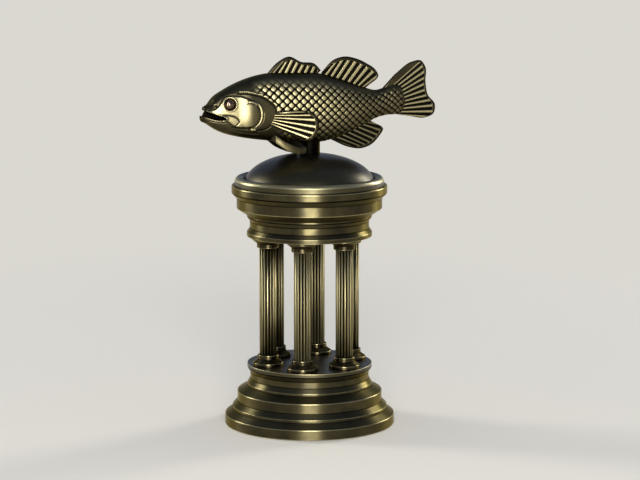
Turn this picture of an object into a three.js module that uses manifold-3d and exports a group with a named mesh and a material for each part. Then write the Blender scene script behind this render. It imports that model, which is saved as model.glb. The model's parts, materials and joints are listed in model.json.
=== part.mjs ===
// Fishing trophy: a bass on a post above a domed, six-column temple on a stepped round base.
// Millimetres, +Z up. The origin is the centre of the underside; the fish lies along X, nose to -X.

import * as THREE from 'three';
import Module from 'manifold-3d';
import { mergeVertices } from 'three/addons/utils/BufferGeometryUtils.js';

const wasm = await Module();
wasm.setup();

// Radius of the foot, and how far each moulding steps in from the one before it.
// The entablature mirrors the base, so both share these.
const FOOT_R = 68;
const LEDGE_IN = 6;
const DRUM_IN = 4;
const COLLAR_IN = 8;
const NECK_IN = 2.4;

// Heights of the base mouldings, from the ground up
const FELT_T = 1.2;
const FELT_PROUD = 0.6;
const FELT_MARGIN = 2;
const FOOT_WALL_H = 7.8;
const FOOT_SLOPE_H = 4.3;
const LEDGE_H = 2.4;
const LEDGE_SLOPE_H = 4.1;
const DRUM_H = 7.9;
const DRUM_SLOPE_H = 4.4;
const COLLAR_H = 1.9;
const NECK_SLOPE_H = 3.8;
const NECK_H = 5.2;
const NECK_FLARE_H = 3.8;
const STYLOBATE_H = 3.2;

// Heights of the entablature mouldings, from the columns up
const ARCHITRAVE_H = 3.3;
const UPPER_SLOPE_H = 3.3;
const UPPER_NECK_H = 5.6;
const UPPER_FLARE_H = 3.5;
const UPPER_COLLAR_H = 1.6;
const FRIEZE_SLOPE_H = 5.1;
const FRIEZE_H = 8;
const CORNICE_SLOPE_H = 4.3;
const CORNICE_H = 5.9;
const BEAD_IN = 6.3;
const BEAD_HALF = 3.7;
const BEAD_SKIRT_H = 3.2;
const DOME_SKIRT_H = 0.9;
const DOME_H = 24.4;

// Castings: walls, the lips that centre one ring in the next, and the clearance between pieces
const WALL = 3;
const LIP_H = 2.5;
const LIP_T = 2;
const VAULT_DROP = 3;
const DOME_WALL = 3;
const ARCHITRAVE_PLATE_T = 3.5;
const CLEARANCE = 0.3;
const ROD_CLEARANCE = 0.5;

// Colonnade
const COLUMN_COUNT = 6;
const COLUMN_IN = 14.6;
const COLUMN_H = 103.1;
const SHAFT_R = 6.8;
const FLUTE_COUNT = 16;
const FLUTE_DEPTH = 0.9;
const COLUMN_DISC_R = 12.2;
const BASE_DISC_H = 2.5;
const BASE_CONE_H = 2.8;
const BASE_COLLAR_R = 8.3;
const BASE_COLLAR_H = 3.4;
const CAPITAL_DISC_H = 1.6;
const CAPITAL_CONE_H = 3;
const CAPITAL_COLLAR_R = 8.6;
const CAPITAL_COLLAR_H = 3.3;
const SOCKET_DEPTH = 1.5;

// Fasteners inside
const TIE_R = 2.5;
const TIE_HEAD_R = 4.6;
const TIE_HEAD_H = 3.2;
const TIE_NUT_R = 4.6;
const TIE_NUT_H = 4;
const TIE_END = 1.5;
const CENTRE_BOLT_R = 3;
const CENTRE_HEAD_R = 7;
const CENTRE_HEAD_H = 1.6;
const CENTRE_BOSS_R = 9;
const CENTRE_BOSS_H = 8;
const COVER_T = 2;
const COVER_LEDGE_W = 4;
const STUD_R = 3;
const STUD_BOSS_R = 8;
const STUD_BOSS_H = 16;
const STUD_GRIP = 20;
const BLIND_FLOOR = 3;

// Post that carries the fish
const POST_R = 8.4;
const POST_GAP = 9.1;
const POST_SOCKET = 7;
const HUB_H = 7;

// Fish
const FISH_LENGTH = 200.3;
const FISH_DEPTH = 55.5;
const FISH_WIDTH = 27;
const NOSE_REACH = 90.9;
const BODY_FULLNESS = 0.85;
const HEAD_FULLNESS = 0.65;
const HEAD_ENDS = [0.1, 0.3];
const TONGUE_T = 4;
const EYE_R = 4.5;
const EYE_SINK = 2;
const GILL_PLATE_T = 1.2;
const CHEEK_RIDGE_T = 2;
const LIP_PLATE_T = 1;
const FIN_T = 2.8;
const RAY_DEPTH = 0.7;
const FIN_RIM_SHARE = 0.12;
const SPINY_RAY_COUNT = 8;
const SOFT_RAY_COUNT = 9;
const TAIL_RAY_COUNT = 10;
const ANAL_RAY_COUNT = 7;
const PECTORAL_RAY_COUNT = 7;
const PELVIC_RAY_COUNT = 3;
const PECTORAL_SPREAD = 19.5;
const PELVIC_T = 6.2;
const PELVIC_SPREAD = 13;
const PAIRED_SINK = 2.5;
const TANG_T = 1;
const TANG_DEPTH = 4;

// Facets
const TIER_SIDES = 28;
const COLUMN_SIDES = 12;
const ROD_SIDES = 6;
const HEX_SIDES = 6;
const BEAD_STEPS = 4;
const DOME_STEPS = 6;
const HOLLOW_STEPS = 3;
const BODY_RINGS = 29;
const BODY_SIDES = 18;
const RING_CROWDING = 0.6;
const EYE_SIDES = 10;
const EYE_RINGS = 7;
const CURVE_STEPS = 3;
const WELD = 1e-4;

const BRASS = { color: 0x7a6d45, roughness: 0.32, metalness: 1 };
const DARK_BRASS = { color: 0x4a432c, roughness: 0.4, metalness: 1 };
const STEEL = { color: 0x85878a, roughness: 0.4, metalness: 1 };
const FELT = { color: 0x1d2822, roughness: 1, metalness: 0 };

// Radii worked out from the steps
const ledgeR = FOOT_R - LEDGE_IN;
const drumR = ledgeR - DRUM_IN;
const collarR = drumR - COLLAR_IN;
const neckR = collarR - NECK_IN;
const beadR = ledgeR - BEAD_IN;
const columnRingR = collarR - COLUMN_IN;

// Levels worked out from the heights
const footZ = FELT_PROUD;
const footWallZ = footZ + FOOT_WALL_H;
const ledgeZ = footWallZ + FOOT_SLOPE_H;
const ledgeTopZ = ledgeZ + LEDGE_H;
const drumZ = ledgeTopZ + LEDGE_SLOPE_H;
const drumTopZ = drumZ + DRUM_H;
const collarZ = drumTopZ + DRUM_SLOPE_H;
const collarTopZ = collarZ + COLLAR_H;
const neckZ = collarTopZ + NECK_SLOPE_H;
const neckTopZ = neckZ + NECK_H;
const stylobateZ = neckTopZ + NECK_FLARE_H;
const floorZ = stylobateZ + STYLOBATE_H;
const plugZ = stylobateZ - LIP_H;
const ceilingZ = floorZ + COLUMN_H;
const architraveTopZ = ceilingZ + ARCHITRAVE_H;
const upperNeckZ = architraveTopZ + UPPER_SLOPE_H;
const upperNeckTopZ = upperNeckZ + UPPER_NECK_H;
const upperCollarZ = upperNeckTopZ + UPPER_FLARE_H;
const upperCollarTopZ = upperCollarZ + UPPER_COLLAR_H;
const friezeZ = upperCollarTopZ + FRIEZE_SLOPE_H;
const friezeTopZ = friezeZ + FRIEZE_H;
const corniceZ = friezeTopZ + CORNICE_SLOPE_H;
const corniceTopZ = corniceZ + CORNICE_H;
const springZ = corniceTopZ + DOME_SKIRT_H;
const plateTopZ = ceilingZ + ARCHITRAVE_PLATE_T;

const footBore = ledgeR - WALL;
const drumBore = drumR - WALL;
const collarBore = collarR - WALL;
const neckBore = neckR - WALL;
const corniceBore = beadR - BEAD_HALF - WALL;
const domeR = beadR - BEAD_HALF - CLEARANCE;
const seatR = POST_R + CLEARANCE;
const seatZ = springZ + DOME_H * Math.sqrt(1 - (seatR / domeR) ** 2);
const fishAxisZ = seatZ + POST_GAP + FISH_DEPTH / 2;
const postTopZ = seatZ + POST_GAP + POST_SOCKET;

const trophy = new THREE.Group();

// Closed geometry as a solid that can be joined and cut
function solid(geometry) {
  const bare = new THREE.BufferGeometry();
  bare.setAttribute('position', geometry.getAttribute('position').clone());
  if (geometry.index) bare.setIndex(geometry.index.clone());
  const welded = mergeVertices(bare, WELD);
  const corners = welded.getAttribute('position').array;
  const faces = [];
  const index = welded.index.array;
  for (let i = 0; i < index.length; i += 3) {
    const [a, b, c] = [index[i], index[i + 1], index[i + 2]];
    if (a !== b && b !== c && c !== a) faces.push(a, b, c);
  }
  const triVerts = new Uint32Array(signedVolume(corners, faces) < 0 ? faces.reverse() : faces);
  return new wasm.Manifold(new wasm.Mesh({ numProp: 3, vertProperties: corners, triVerts }));
}

// Six times the volume that the faces enclose, negative when they point inwards
function signedVolume(corners, faces) {
  const corner = (i) => new THREE.Vector3().fromArray(corners, 3 * i);
  let total = 0;
  for (let i = 0; i < faces.length; i += 3) {
    const across = corner(faces[i + 1]).cross(corner(faces[i + 2]));
    total += corner(faces[i]).dot(across);
  }
  return total;
}

// Solid back as a geometry for a mesh
function shape(body) {
  const faces = body.getMesh();
  const geometry = new THREE.BufferGeometry();
  geometry.setAttribute('position', new THREE.BufferAttribute(new Float32Array(faces.vertProperties), 3));
  geometry.setIndex(new THREE.BufferAttribute(new Uint32Array(faces.triVerts), 1));
  geometry.computeVertexNormals();
  return geometry;
}

function add(parent, name, body, finish) {
  const mesh = new THREE.Mesh(shape(body), new THREE.MeshStandardMaterial(finish));
  mesh.name = name;
  parent.add(mesh);
}

// Profile of [radius, height] points turned about Z; one that leaves the axis is closed on itself
function turned(profile, sides) {
  const onAxis = profile[0][0] === 0;
  const outline = onAxis ? profile : [...profile, profile[0]];
  const points = outline.map(([radius, height]) => new THREE.Vector2(radius, height));
  return solid(new THREE.LatheGeometry(points, sides).rotateX(Math.PI / 2));
}

function rod(radius, bottom, top, sides) {
  return turned([[0, bottom], [radius, bottom], [radius, top], [0, top]], sides);
}

// Copies of a solid at the columns' places
function atColumns(body) {
  const places = Array.from({ length: COLUMN_COUNT }, (_, i) => (i * 2 * Math.PI) / COLUMN_COUNT);
  const copies = places.map((angle) => body.translate([
    columnRingR * Math.cos(angle),
    columnRingR * Math.sin(angle),
    0,
  ]));
  return copies.reduce((all, copy) => all.add(copy));
}

// Stepped base: felt, cover, and three hollow rings clamped under the stylobate by one bolt
function buildBase() {
  const feltSeatR = FOOT_R - FELT_MARGIN;
  const coverR = footBore + COVER_LEDGE_W;
  const coverZ = FELT_T + CENTRE_HEAD_H + CLEARANCE;
  const coverTopZ = coverZ + COVER_T;
  add(trophy, 'felt_pad', rod(feltSeatR - CLEARANCE, 0, FELT_T, TIER_SIDES), FELT);

  const footProfile = [
    [coverR, FELT_T],
    [feltSeatR, FELT_T],
    [feltSeatR, footZ],
    [FOOT_R, footZ],
    [FOOT_R, footWallZ],
    [ledgeR, ledgeZ],
    [footBore, ledgeZ],
    [footBore, coverTopZ],
    [coverR, coverTopZ],
  ];
  add(trophy, 'foot_ring', turned(footProfile, TIER_SIDES), BRASS);

  const boltHole = rod(CENTRE_BOLT_R + ROD_CLEARANCE, coverZ - COVER_T, coverTopZ + COVER_T, ROD_SIDES);
  const cover = rod(coverR - CLEARANCE, coverZ, coverTopZ, TIER_SIDES).subtract(boltHole);
  add(trophy, 'base_cover', cover, STEEL);

  const plinthProfile = [
    [drumBore, ledgeZ - LIP_H],
    [footBore - CLEARANCE, ledgeZ - LIP_H],
    [footBore - CLEARANCE, ledgeZ],
    [ledgeR, ledgeZ],
    [ledgeR, ledgeTopZ],
    [drumR, drumZ],
    [drumR, drumTopZ],
    [collarR, collarZ],
    [collarBore, collarZ],
    [collarBore, collarZ - VAULT_DROP],
    [drumBore, drumTopZ - VAULT_DROP],
  ];
  add(trophy, 'plinth_ring', turned(plinthProfile, TIER_SIDES), BRASS);

  const neckProfile = [
    [neckBore, collarZ - LIP_H],
    [collarBore - CLEARANCE, collarZ - LIP_H],
    [collarBore - CLEARANCE, collarZ],
    [collarR, collarZ],
    [collarR, collarTopZ],
    [neckR, neckZ],
    [neckR, neckTopZ],
    [collarR, stylobateZ],
    [neckBore, stylobateZ],
  ];
  add(trophy, 'neck_ring', turned(neckProfile, TIER_SIDES), BRASS);

  const bossZ = plugZ - CENTRE_BOSS_H;
  const boltEndZ = floorZ - BLIND_FLOOR;
  const stylobateProfile = [
    [0, bossZ],
    [CENTRE_BOSS_R, bossZ],
    [CENTRE_BOSS_R, plugZ],
    [neckBore - CLEARANCE, plugZ],
    [neckBore - CLEARANCE, stylobateZ],
    [collarR, stylobateZ],
    [collarR, floorZ],
    [0, floorZ],
  ];
  const tieHoles = atColumns(rod(TIE_R + ROD_CLEARANCE, plugZ - LIP_H, floorZ + LIP_H, ROD_SIDES));
  const boltSocket = rod(CENTRE_BOLT_R + ROD_CLEARANCE, bossZ - LIP_H, boltEndZ, ROD_SIDES);
  const stylobate = turned(stylobateProfile, TIER_SIDES).subtract(tieHoles).subtract(boltSocket);
  add(trophy, 'stylobate', stylobate, BRASS);

  const boltProfile = [
    [0, coverZ - CENTRE_HEAD_H],
    [CENTRE_HEAD_R, coverZ - CENTRE_HEAD_H],
    [CENTRE_HEAD_R, coverZ],
    [CENTRE_BOLT_R, coverZ],
    [CENTRE_BOLT_R, boltEndZ - CLEARANCE],
    [0, boltEndZ - CLEARANCE],
  ];
  add(trophy, 'centre_bolt', turned(boltProfile, ROD_SIDES), STEEL);
}

// Outline of the fluted shaft: a sharp arris, then a hollow, for each flute
function flutedOutline() {
  return Array.from({ length: 2 * FLUTE_COUNT }, (_, i) => {
    const radius = i % 2 === 0 ? SHAFT_R : SHAFT_R - FLUTE_DEPTH;
    const angle = (i * Math.PI) / FLUTE_COUNT;
    return new THREE.Vector2(radius * Math.cos(angle), radius * Math.sin(angle));
  });
}

// Base or capital of a column: disc, cone and collar, with the socket that holds the shaft
function columnEnd(discH, coneH, endR, collarH) {
  const bore = TIE_R + ROD_CLEARANCE;
  const socketR = SHAFT_R + CLEARANCE;
  const top = discH + coneH + collarH;
  return turned([
    [bore, 0],
    [COLUMN_DISC_R, 0],
    [COLUMN_DISC_R, discH],
    [endR, discH + coneH],
    [endR, top],
    [socketR, top],
    [socketR, top - SOCKET_DEPTH],
    [bore, top - SOCKET_DEPTH],
  ], COLUMN_SIDES);
}

// Six columns, each a base, a fluted shaft and a capital, drawn together by a tie bolt and its nut
function buildColumns() {
  const base = columnEnd(BASE_DISC_H, BASE_CONE_H, BASE_COLLAR_R, BASE_COLLAR_H);
  const capital = columnEnd(CAPITAL_DISC_H, CAPITAL_CONE_H, CAPITAL_COLLAR_R, CAPITAL_COLLAR_H);
  const shaftZ = floorZ + BASE_DISC_H + BASE_CONE_H + BASE_COLLAR_H - SOCKET_DEPTH;
  const shaftTopZ = ceilingZ - CAPITAL_DISC_H - CAPITAL_CONE_H - CAPITAL_COLLAR_H + SOCKET_DEPTH;
  const section = new THREE.Shape(flutedOutline());
  const bore = new THREE.Path().absarc(0, 0, TIE_R + ROD_CLEARANCE, 0, 2 * Math.PI);
  section.holes.push(new THREE.Path(bore.getPoints(ROD_SIDES)));
  const shaftH = shaftTopZ - shaftZ;
  const shaft = solid(new THREE.ExtrudeGeometry(section, { depth: shaftH, bevelEnabled: false }));

  const tieEndZ = plateTopZ + TIE_NUT_H + TIE_END;
  const tieBolt = rod(TIE_HEAD_R, plugZ - TIE_HEAD_H, plugZ, HEX_SIDES)
    .add(rod(TIE_R, plugZ - TIE_HEAD_H, tieEndZ, ROD_SIDES));
  const nutHole = rod(TIE_R + ROD_CLEARANCE, plateTopZ - TIE_NUT_H, tieEndZ + TIE_NUT_H, ROD_SIDES);
  const tieNut = rod(TIE_NUT_R, plateTopZ, plateTopZ + TIE_NUT_H, HEX_SIDES).subtract(nutHole);

  for (let i = 0; i < COLUMN_COUNT; i += 1) {
    const column = new THREE.Group();
    column.rotation.z = (i * 2 * Math.PI) / COLUMN_COUNT;
    const axis = new THREE.Group();
    axis.position.x = columnRingR;
    column.add(axis);
    const number = i + 1;
    add(axis, `column_base_${number}`, base.translate([0, 0, floorZ]), BRASS);
    add(axis, `column_shaft_${number}`, shaft.translate([0, 0, shaftZ]), BRASS);
    add(axis, `column_capital_${number}`, capital.rotate([180, 0, 0]).translate([0, 0, ceilingZ]), BRASS);
    add(axis, `tie_bolt_${number}`, tieBolt, STEEL);
    add(axis, `tie_nut_${number}`, tieNut, STEEL);
    trophy.add(column);
  }
}

// Points of a quarter ellipse from its foot at full radius up to its crown
function quarterEllipse(radius, height, baseZ, steps) {
  return Array.from({ length: steps + 1 }, (_, i) => {
    const angle = (i * Math.PI) / (2 * steps);
    return [radius * Math.cos(angle), baseZ + height * Math.sin(angle)];
  });
}

// Entablature: architrave cup, two rings, the round-topped bead and the hollow dome
function buildEntablature() {
  const architraveProfile = [
    [0, ceilingZ],
    [collarR, ceilingZ],
    [collarR, architraveTopZ],
    [neckR, upperNeckZ],
    [neckR, upperNeckTopZ],
    [collarR, upperCollarZ],
    [neckBore, upperCollarZ],
    [neckBore, plateTopZ],
    [STUD_BOSS_R, plateTopZ],
    [STUD_BOSS_R, plateTopZ + STUD_BOSS_H],
    [0, plateTopZ + STUD_BOSS_H],
  ];
  const tieHoles = atColumns(rod(TIE_R + ROD_CLEARANCE, ceilingZ - LIP_H, plateTopZ + LIP_H, ROD_SIDES));
  const studSocket = rod(STUD_R + ROD_CLEARANCE, ceilingZ + BLIND_FLOOR, seatZ, ROD_SIDES);
  const architrave = turned(architraveProfile, TIER_SIDES).subtract(tieHoles).subtract(studSocket);
  add(trophy, 'architrave', architrave, BRASS);

  const friezeLipR = neckBore - CLEARANCE;
  const friezeProfile = [
    [friezeLipR - LIP_T, upperCollarZ - LIP_H],
    [friezeLipR, upperCollarZ - LIP_H],
    [friezeLipR, upperCollarZ],
    [collarR, upperCollarZ],
    [collarR, upperCollarTopZ],
    [drumR, friezeZ],
    [drumR, friezeTopZ],
    [ledgeR, corniceZ],
    [drumBore, corniceZ],
    [drumBore, friezeZ + VAULT_DROP],
    [friezeLipR - LIP_T, upperCollarTopZ + VAULT_DROP],
  ];
  add(trophy, 'frieze_ring', turned(friezeProfile, TIER_SIDES), BRASS);

  const corniceProfile = [
    [corniceBore, corniceZ - LIP_H],
    [drumBore - CLEARANCE, corniceZ - LIP_H],
    [drumBore - CLEARANCE, corniceZ],
    [ledgeR, corniceZ],
    [ledgeR, corniceTopZ],
    [corniceBore, corniceTopZ],
  ];
  add(trophy, 'cornice_ring', turned(corniceProfile, TIER_SIDES), BRASS);

  const crown = Array.from({ length: BEAD_STEPS + 1 }, (_, i) => {
    const angle = (i * Math.PI) / BEAD_STEPS;
    return [beadR + BEAD_HALF * Math.cos(angle), corniceTopZ + BEAD_SKIRT_H + BEAD_HALF * Math.sin(angle)];
  });
  const beadFoot = [[beadR - BEAD_HALF, corniceTopZ], [beadR + BEAD_HALF, corniceTopZ]];
  add(trophy, 'bead_ring', turned([...beadFoot, ...crown], TIER_SIDES), BRASS);

  const lipR = corniceBore - CLEARANCE;
  const hollowR = lipR - LIP_T;
  const hubZ = seatZ - HUB_H;
  const hollowH = DOME_H - DOME_WALL;
  const outer = quarterEllipse(domeR, DOME_H, springZ, DOME_STEPS).filter(([radius]) => radius > seatR);
  const hollow = quarterEllipse(hollowR, hollowH, springZ, HOLLOW_STEPS);
  const hubR = POST_R + WALL;
  const inner = hollow.filter(([radius, height]) => radius > hubR && height < hubZ).reverse();
  const domeProfile = [
    [hollowR, corniceTopZ - LIP_H],
    [lipR, corniceTopZ - LIP_H],
    [lipR, corniceTopZ],
    [domeR, corniceTopZ],
    ...outer,
    [seatR, seatZ],
    [STUD_R + ROD_CLEARANCE, seatZ],
    [STUD_R + ROD_CLEARANCE, hubZ],
    [hubR, hubZ],
    ...inner,
  ];
  add(trophy, 'dome', turned(domeProfile, TIER_SIDES), BRASS);
}

// Place on the fish: share of its length from the nose, share of its depth from mid-height, offset in Y
function onFish([along, rise], side = 0) {
  return new THREE.Vector3(along * FISH_LENGTH - NOSE_REACH, side, fishAxisZ + rise * FISH_DEPTH);
}

// Stations of the body: back and belly as shares of the depth, breadth as a share of the width
const STATIONS = [
  { along: 0, back: -0.01, belly: -0.1, breadth: 0.18 },
  { along: 0.011, back: 0.058, belly: -0.146, breadth: 0.37 },
  { along: 0.026, back: 0.098, belly: -0.185, breadth: 0.49 },
  { along: 0.06, back: 0.212, belly: -0.266, breadth: 0.67 },
  { along: 0.095, back: 0.287, belly: -0.323, breadth: 0.77 },
  { along: 0.135, back: 0.36, belly: -0.364, breadth: 0.85 },
  { along: 0.195, back: 0.443, belly: -0.408, breadth: 0.93 },
  { along: 0.26, back: 0.498, belly: -0.443, breadth: 0.99 },
  { along: 0.369, back: 0.503, belly: -0.486, breadth: 1 },
  { along: 0.503, back: 0.474, belly: -0.5, breadth: 0.93 },
  { along: 0.594, back: 0.378, belly: -0.418, breadth: 0.8 },
  { along: 0.688, back: 0.256, belly: -0.274, breadth: 0.59 },
  { along: 0.738, back: 0.214, belly: -0.191, breadth: 0.46 },
  { along: 0.783, back: 0.252, belly: -0.155, breadth: 0.37 },
  { along: 0.823, back: 0.286, belly: -0.148, breadth: 0.29 },
  { along: 0.851, back: 0.216, belly: -0.126, breadth: 0.19 },
  { along: 0.862, back: 0.09, belly: -0.036, breadth: 0.09 },
];

const bodyCurve = new THREE.CubicInterpolant(
  STATIONS.map((station) => station.along),
  STATIONS.flatMap((station) => [station.back, station.belly, station.breadth]),
  3,
);

// Power of the cosine in a cross-section: the head is boxier than the body
function fullnessAt(along) {
  const blend = THREE.MathUtils.smoothstep(along, ...HEAD_ENDS);
  return THREE.MathUtils.lerp(HEAD_FULLNESS, BODY_FULLNESS, blend);
}

// Skin through rings of points, closed by a pole at each end
function lofted(rings) {
  const sides = rings[0].length;
  const centre = (ring) => ring.reduce((sum, p) => sum.add(p), new THREE.Vector3()).divideScalar(sides);
  const points = [...rings.flat(), centre(rings[0]), centre(rings.at(-1))];
  const firstPole = points.length - 2;
  const lastPole = points.length - 1;
  const lastRing = (rings.length - 1) * sides;
  const faces = [];
  for (let j = 0; j < sides; j += 1) {
    const next = (j + 1) % sides;
    faces.push(firstPole, next, j, lastPole, lastRing + j, lastRing + next);
    for (let i = 0; i < lastRing; i += sides) {
      faces.push(i + j, i + next, i + sides + j, i + next, i + sides + next, i + sides + j);
    }
  }
  return solid(new THREE.BufferGeometry().setFromPoints(points).setIndex(faces));
}

// Body of the fish, grown on all sides by an allowance
function bodyForm(grown) {
  const first = STATIONS[0].along;
  const span = STATIONS.at(-1).along - first;
  const rings = Array.from({ length: BODY_RINGS }, (_, i) => {
    const share = i / (BODY_RINGS - 1);
    const along = first + span * (share - (RING_CROWDING * Math.sin(2 * Math.PI * share)) / (2 * Math.PI));
    const [back, belly, breadth] = bodyCurve.evaluate(along);
    const middle = onFish([along, (back + belly) / 2]);
    middle.x += grown * (2 * share - 1);
    const halfDepth = ((back - belly) / 2) * FISH_DEPTH + grown;
    const halfWidth = (breadth * FISH_WIDTH) / 2 + grown;
    const fullness = fullnessAt(along);
    return Array.from({ length: BODY_SIDES }, (_unused, j) => {
      const angle = (j * 2 * Math.PI) / BODY_SIDES;
      const flank = Math.sign(Math.cos(angle)) * Math.abs(Math.cos(angle)) ** fullness;
      return new THREE.Vector3(middle.x, halfWidth * flank, middle.z + halfDepth * Math.sin(angle));
    });
  });
  return lofted(rings);
}

// Outline on the fish's side as a block of some width about the middle, or through the whole fish
function throughBlock(points, width = 2 * FISH_WIDTH) {
  const corners = points.map((point) => onFish(point)).map((p) => new THREE.Vector2(p.x, -p.z));
  const outline = new THREE.Shape(corners);
  const block = new THREE.ExtrudeGeometry(outline, { depth: width, bevelEnabled: false });
  return solid(block.translate(0, 0, -width / 2).rotateX(-Math.PI / 2));
}

// Smooth closed outline through a few points
function rounded(points, steps) {
  const curve = new THREE.SplineCurve(points.map(([along, rise]) => new THREE.Vector2(along, rise)));
  return curve.getPoints(steps * (points.length - 1)).map((p) => [p.x, p.y]);
}

const GILL_PLATE = [
  ...rounded([[0.125, 0.225], [0.165, 0.258], [0.24, 0.19], [0.291, 0], [0.275, -0.19]], CURVE_STEPS),
  ...rounded([[0.23, -0.275], [0.175, -0.27], [0.14, -0.2]], CURVE_STEPS),
];
const CHEEK_RIDGE = [
  ...rounded([[0.178, 0.138], [0.219, 0.098], [0.234, -0.03], [0.225, -0.17], [0.19, -0.25]], CURVE_STEPS),
  ...rounded([[0.186, -0.225], [0.214, -0.15], [0.224, -0.03], [0.209, 0.082], [0.178, 0.122]], CURVE_STEPS),
];
const JAW_PLATE = [[0.079, -0.047], [0.108, -0.056], [0.135, -0.1], [0.139, -0.151], [0.127, -0.195],
  [0.1, -0.135]];
const MOUTH = [[-0.02, 0.045], [0.012, 0.004], [0.06, -0.041], [0.092, -0.097], [0.075, -0.126],
  [0.05, -0.12], [0.012, -0.076], [-0.02, -0.05]];
const TONGUE = [[0.02, -0.03], [0.05, 0.04], [0.12, 0.04], [0.12, -0.2], [0.05, -0.2], [0.02, -0.07]];
const EYE_PLACE = [0.105, 0.1];

// Outline moved outwards from its middle by the clearance
function grownOutline(points) {
  const middle = points.reduce(([u, v], [along, rise]) => [u + along, v + rise], [0, 0])
    .map((sum) => sum / points.length);
  return points.map(([along, rise]) => {
    const away = new THREE.Vector2((along - middle[0]) * FISH_LENGTH, (rise - middle[1]) * FISH_DEPTH);
    away.setLength(away.length() + CLEARANCE);
    return [middle[0] + away.x / FISH_LENGTH, middle[1] + away.y / FISH_DEPTH];
  });
}

// Half width of the body at a place on its side
function flankAt([along, rise]) {
  const [back, belly, breadth] = bodyCurve.evaluate(along);
  const height = (rise - (back + belly) / 2) / ((back - belly) / 2);
  return ((breadth * FISH_WIDTH) / 2) * Math.sqrt(1 - height * height) ** fullnessAt(along);
}

// Fins: a root line inside the body, the free edge, and the tang let into the body
const MEDIAN_FINS = {
  dorsal_fin_front: {
    root: [[0.274, 0.44], [0.474, 0.43]],
    edge: [[0.318, 0.65], [0.368, 0.735], [0.42, 0.65], [0.475, 0.62], [0.503, 0.52]],
    rayCount: SPINY_RAY_COUNT,
    tang: { from: [0.31, 0.495], to: [0.46, 0.485] },
  },
  dorsal_fin_rear: {
    root: [[0.496, 0.42], [0.68, 0.22]],
    edge: [[0.56, 0.672], [0.602, 0.708], [0.645, 0.683], [0.697, 0.602], [0.748, 0.44]],
    rayCount: SOFT_RAY_COUNT,
    tang: { from: [0.53, 0.455], to: [0.65, 0.305] },
  },
  tail_fin: {
    root: [[0.753, 0.25], [0.803, 0.054], [0.773, -0.117]],
    edge: [[0.895, 0.605], [0.933, 0.616], [0.953, 0.523], [0.954, 0.306], [0.965, 0.112], [0.996, -0.03],
      [0.99, -0.16], [0.955, -0.214]],
    rayCount: TAIL_RAY_COUNT,
    tang: { from: [0.845, 0.2], to: [0.855, -0.1] },
  },
  anal_fin: {
    root: [[0.54, -0.44], [0.69, -0.22]],
    edge: [[0.658, -0.63], [0.69, -0.612], [0.722, -0.572], [0.752, -0.47], [0.769, -0.36], [0.765, -0.305]],
    rayCount: ANAL_RAY_COUNT,
    tang: { from: [0.58, -0.435], to: [0.68, -0.29] },
  },
};

// Paired fins: the root lies on the flank, and the edge stands off it by shares of the fin's spread.
// The pectoral is a rayed fan; the pelvic is a plain slab that keeps its thickness upright.
const PAIRED_FINS = {
  pectoral_fin: {
    root: [[0.285, -0.03], [0.268, -0.21]],
    edge: [[0.372, -0.006], [0.415, -0.035], [0.446, -0.085], [0.457, -0.17], [0.456, -0.26],
      [0.446, -0.355], [0.43, -0.425], [0.398, -0.44]],
    stand: [0.93, 0.97, 1, 1, 1, 1, 0.97, 0.92],
    spread: PECTORAL_SPREAD,
    thickness: FIN_T,
    rayCount: PECTORAL_RAY_COUNT,
    rayDepth: RAY_DEPTH,
    upright: false,
  },
  pelvic_fin: {
    root: [[0.289, -0.4], [0.372, -0.45]],
    edge: [[0.294, -0.42], [0.329, -0.515], [0.364, -0.575], [0.39, -0.61], [0.423, -0.6]],
    stand: [0.78, 0.92, 1, 1, 0.82],
    spread: PELVIC_SPREAD,
    thickness: PELVIC_T,
    rayCount: PELVIC_RAY_COUNT,
    rayDepth: 0,
    upright: true,
  },
};

// Sheet between two curves, with rays that alternate ridge and groove and a smooth rim
function rayedSheet(root, edge, rayCount, rayDepth, normal, thickness) {
  const rootCurve = new THREE.CatmullRomCurve3(root);
  const edgeCurve = new THREE.CatmullRomCurve3(edge);
  const columns = 2 * rayCount + 1;
  const rows = [0, 1 - FIN_RIM_SHARE, 1];
  const half = thickness / 2;
  const halfAt = (column, row) => {
    const border = column === 0 || column === columns - 1;
    const groove = column % 2 === 0 && !border && row < rows.length - 1;
    return groove ? half - rayDepth : half;
  };
  const points = [];
  for (const face of [1, -1]) {
    for (let i = 0; i < columns; i += 1) {
      const share = i / (columns - 1);
      const start = rootCurve.getPointAt(share);
      const end = edgeCurve.getPointAt(share);
      rows.forEach((reach, row) => {
        const place = start.clone().lerp(end, reach);
        points.push(place.addScaledVector(normal, face * halfAt(i, row)));
      });
    }
  }
  return solid(new THREE.BufferGeometry().setFromPoints(points).setIndex(sheetFaces(columns, rows.length)));
}

// Faces of a two-sided grid: both sides and the strip around the edge
function sheetFaces(columns, rows) {
  const far = columns * rows;
  const at = (column, row) => column * rows + row;
  const faces = [];
  const quad = (a, b, c, d) => faces.push(a, b, c, a, c, d);
  for (let i = 0; i < columns - 1; i += 1) {
    for (let j = 0; j < rows - 1; j += 1) {
      quad(at(i, j), at(i + 1, j), at(i + 1, j + 1), at(i, j + 1));
      quad(far + at(i, j), far + at(i, j + 1), far + at(i + 1, j + 1), far + at(i + 1, j));
    }
  }
  const border = [];
  for (let i = 0; i < columns - 1; i += 1) border.push(at(i, 0));
  for (let j = 0; j < rows - 1; j += 1) border.push(at(columns - 1, j));
  for (let i = columns - 1; i > 0; i -= 1) border.push(at(i, rows - 1));
  for (let j = rows - 1; j > 0; j -= 1) border.push(at(0, j));
  border.forEach((corner, k) => {
    const next = border[(k + 1) % border.length];
    quad(corner, far + corner, far + next, next);
  });
  return faces;
}

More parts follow.
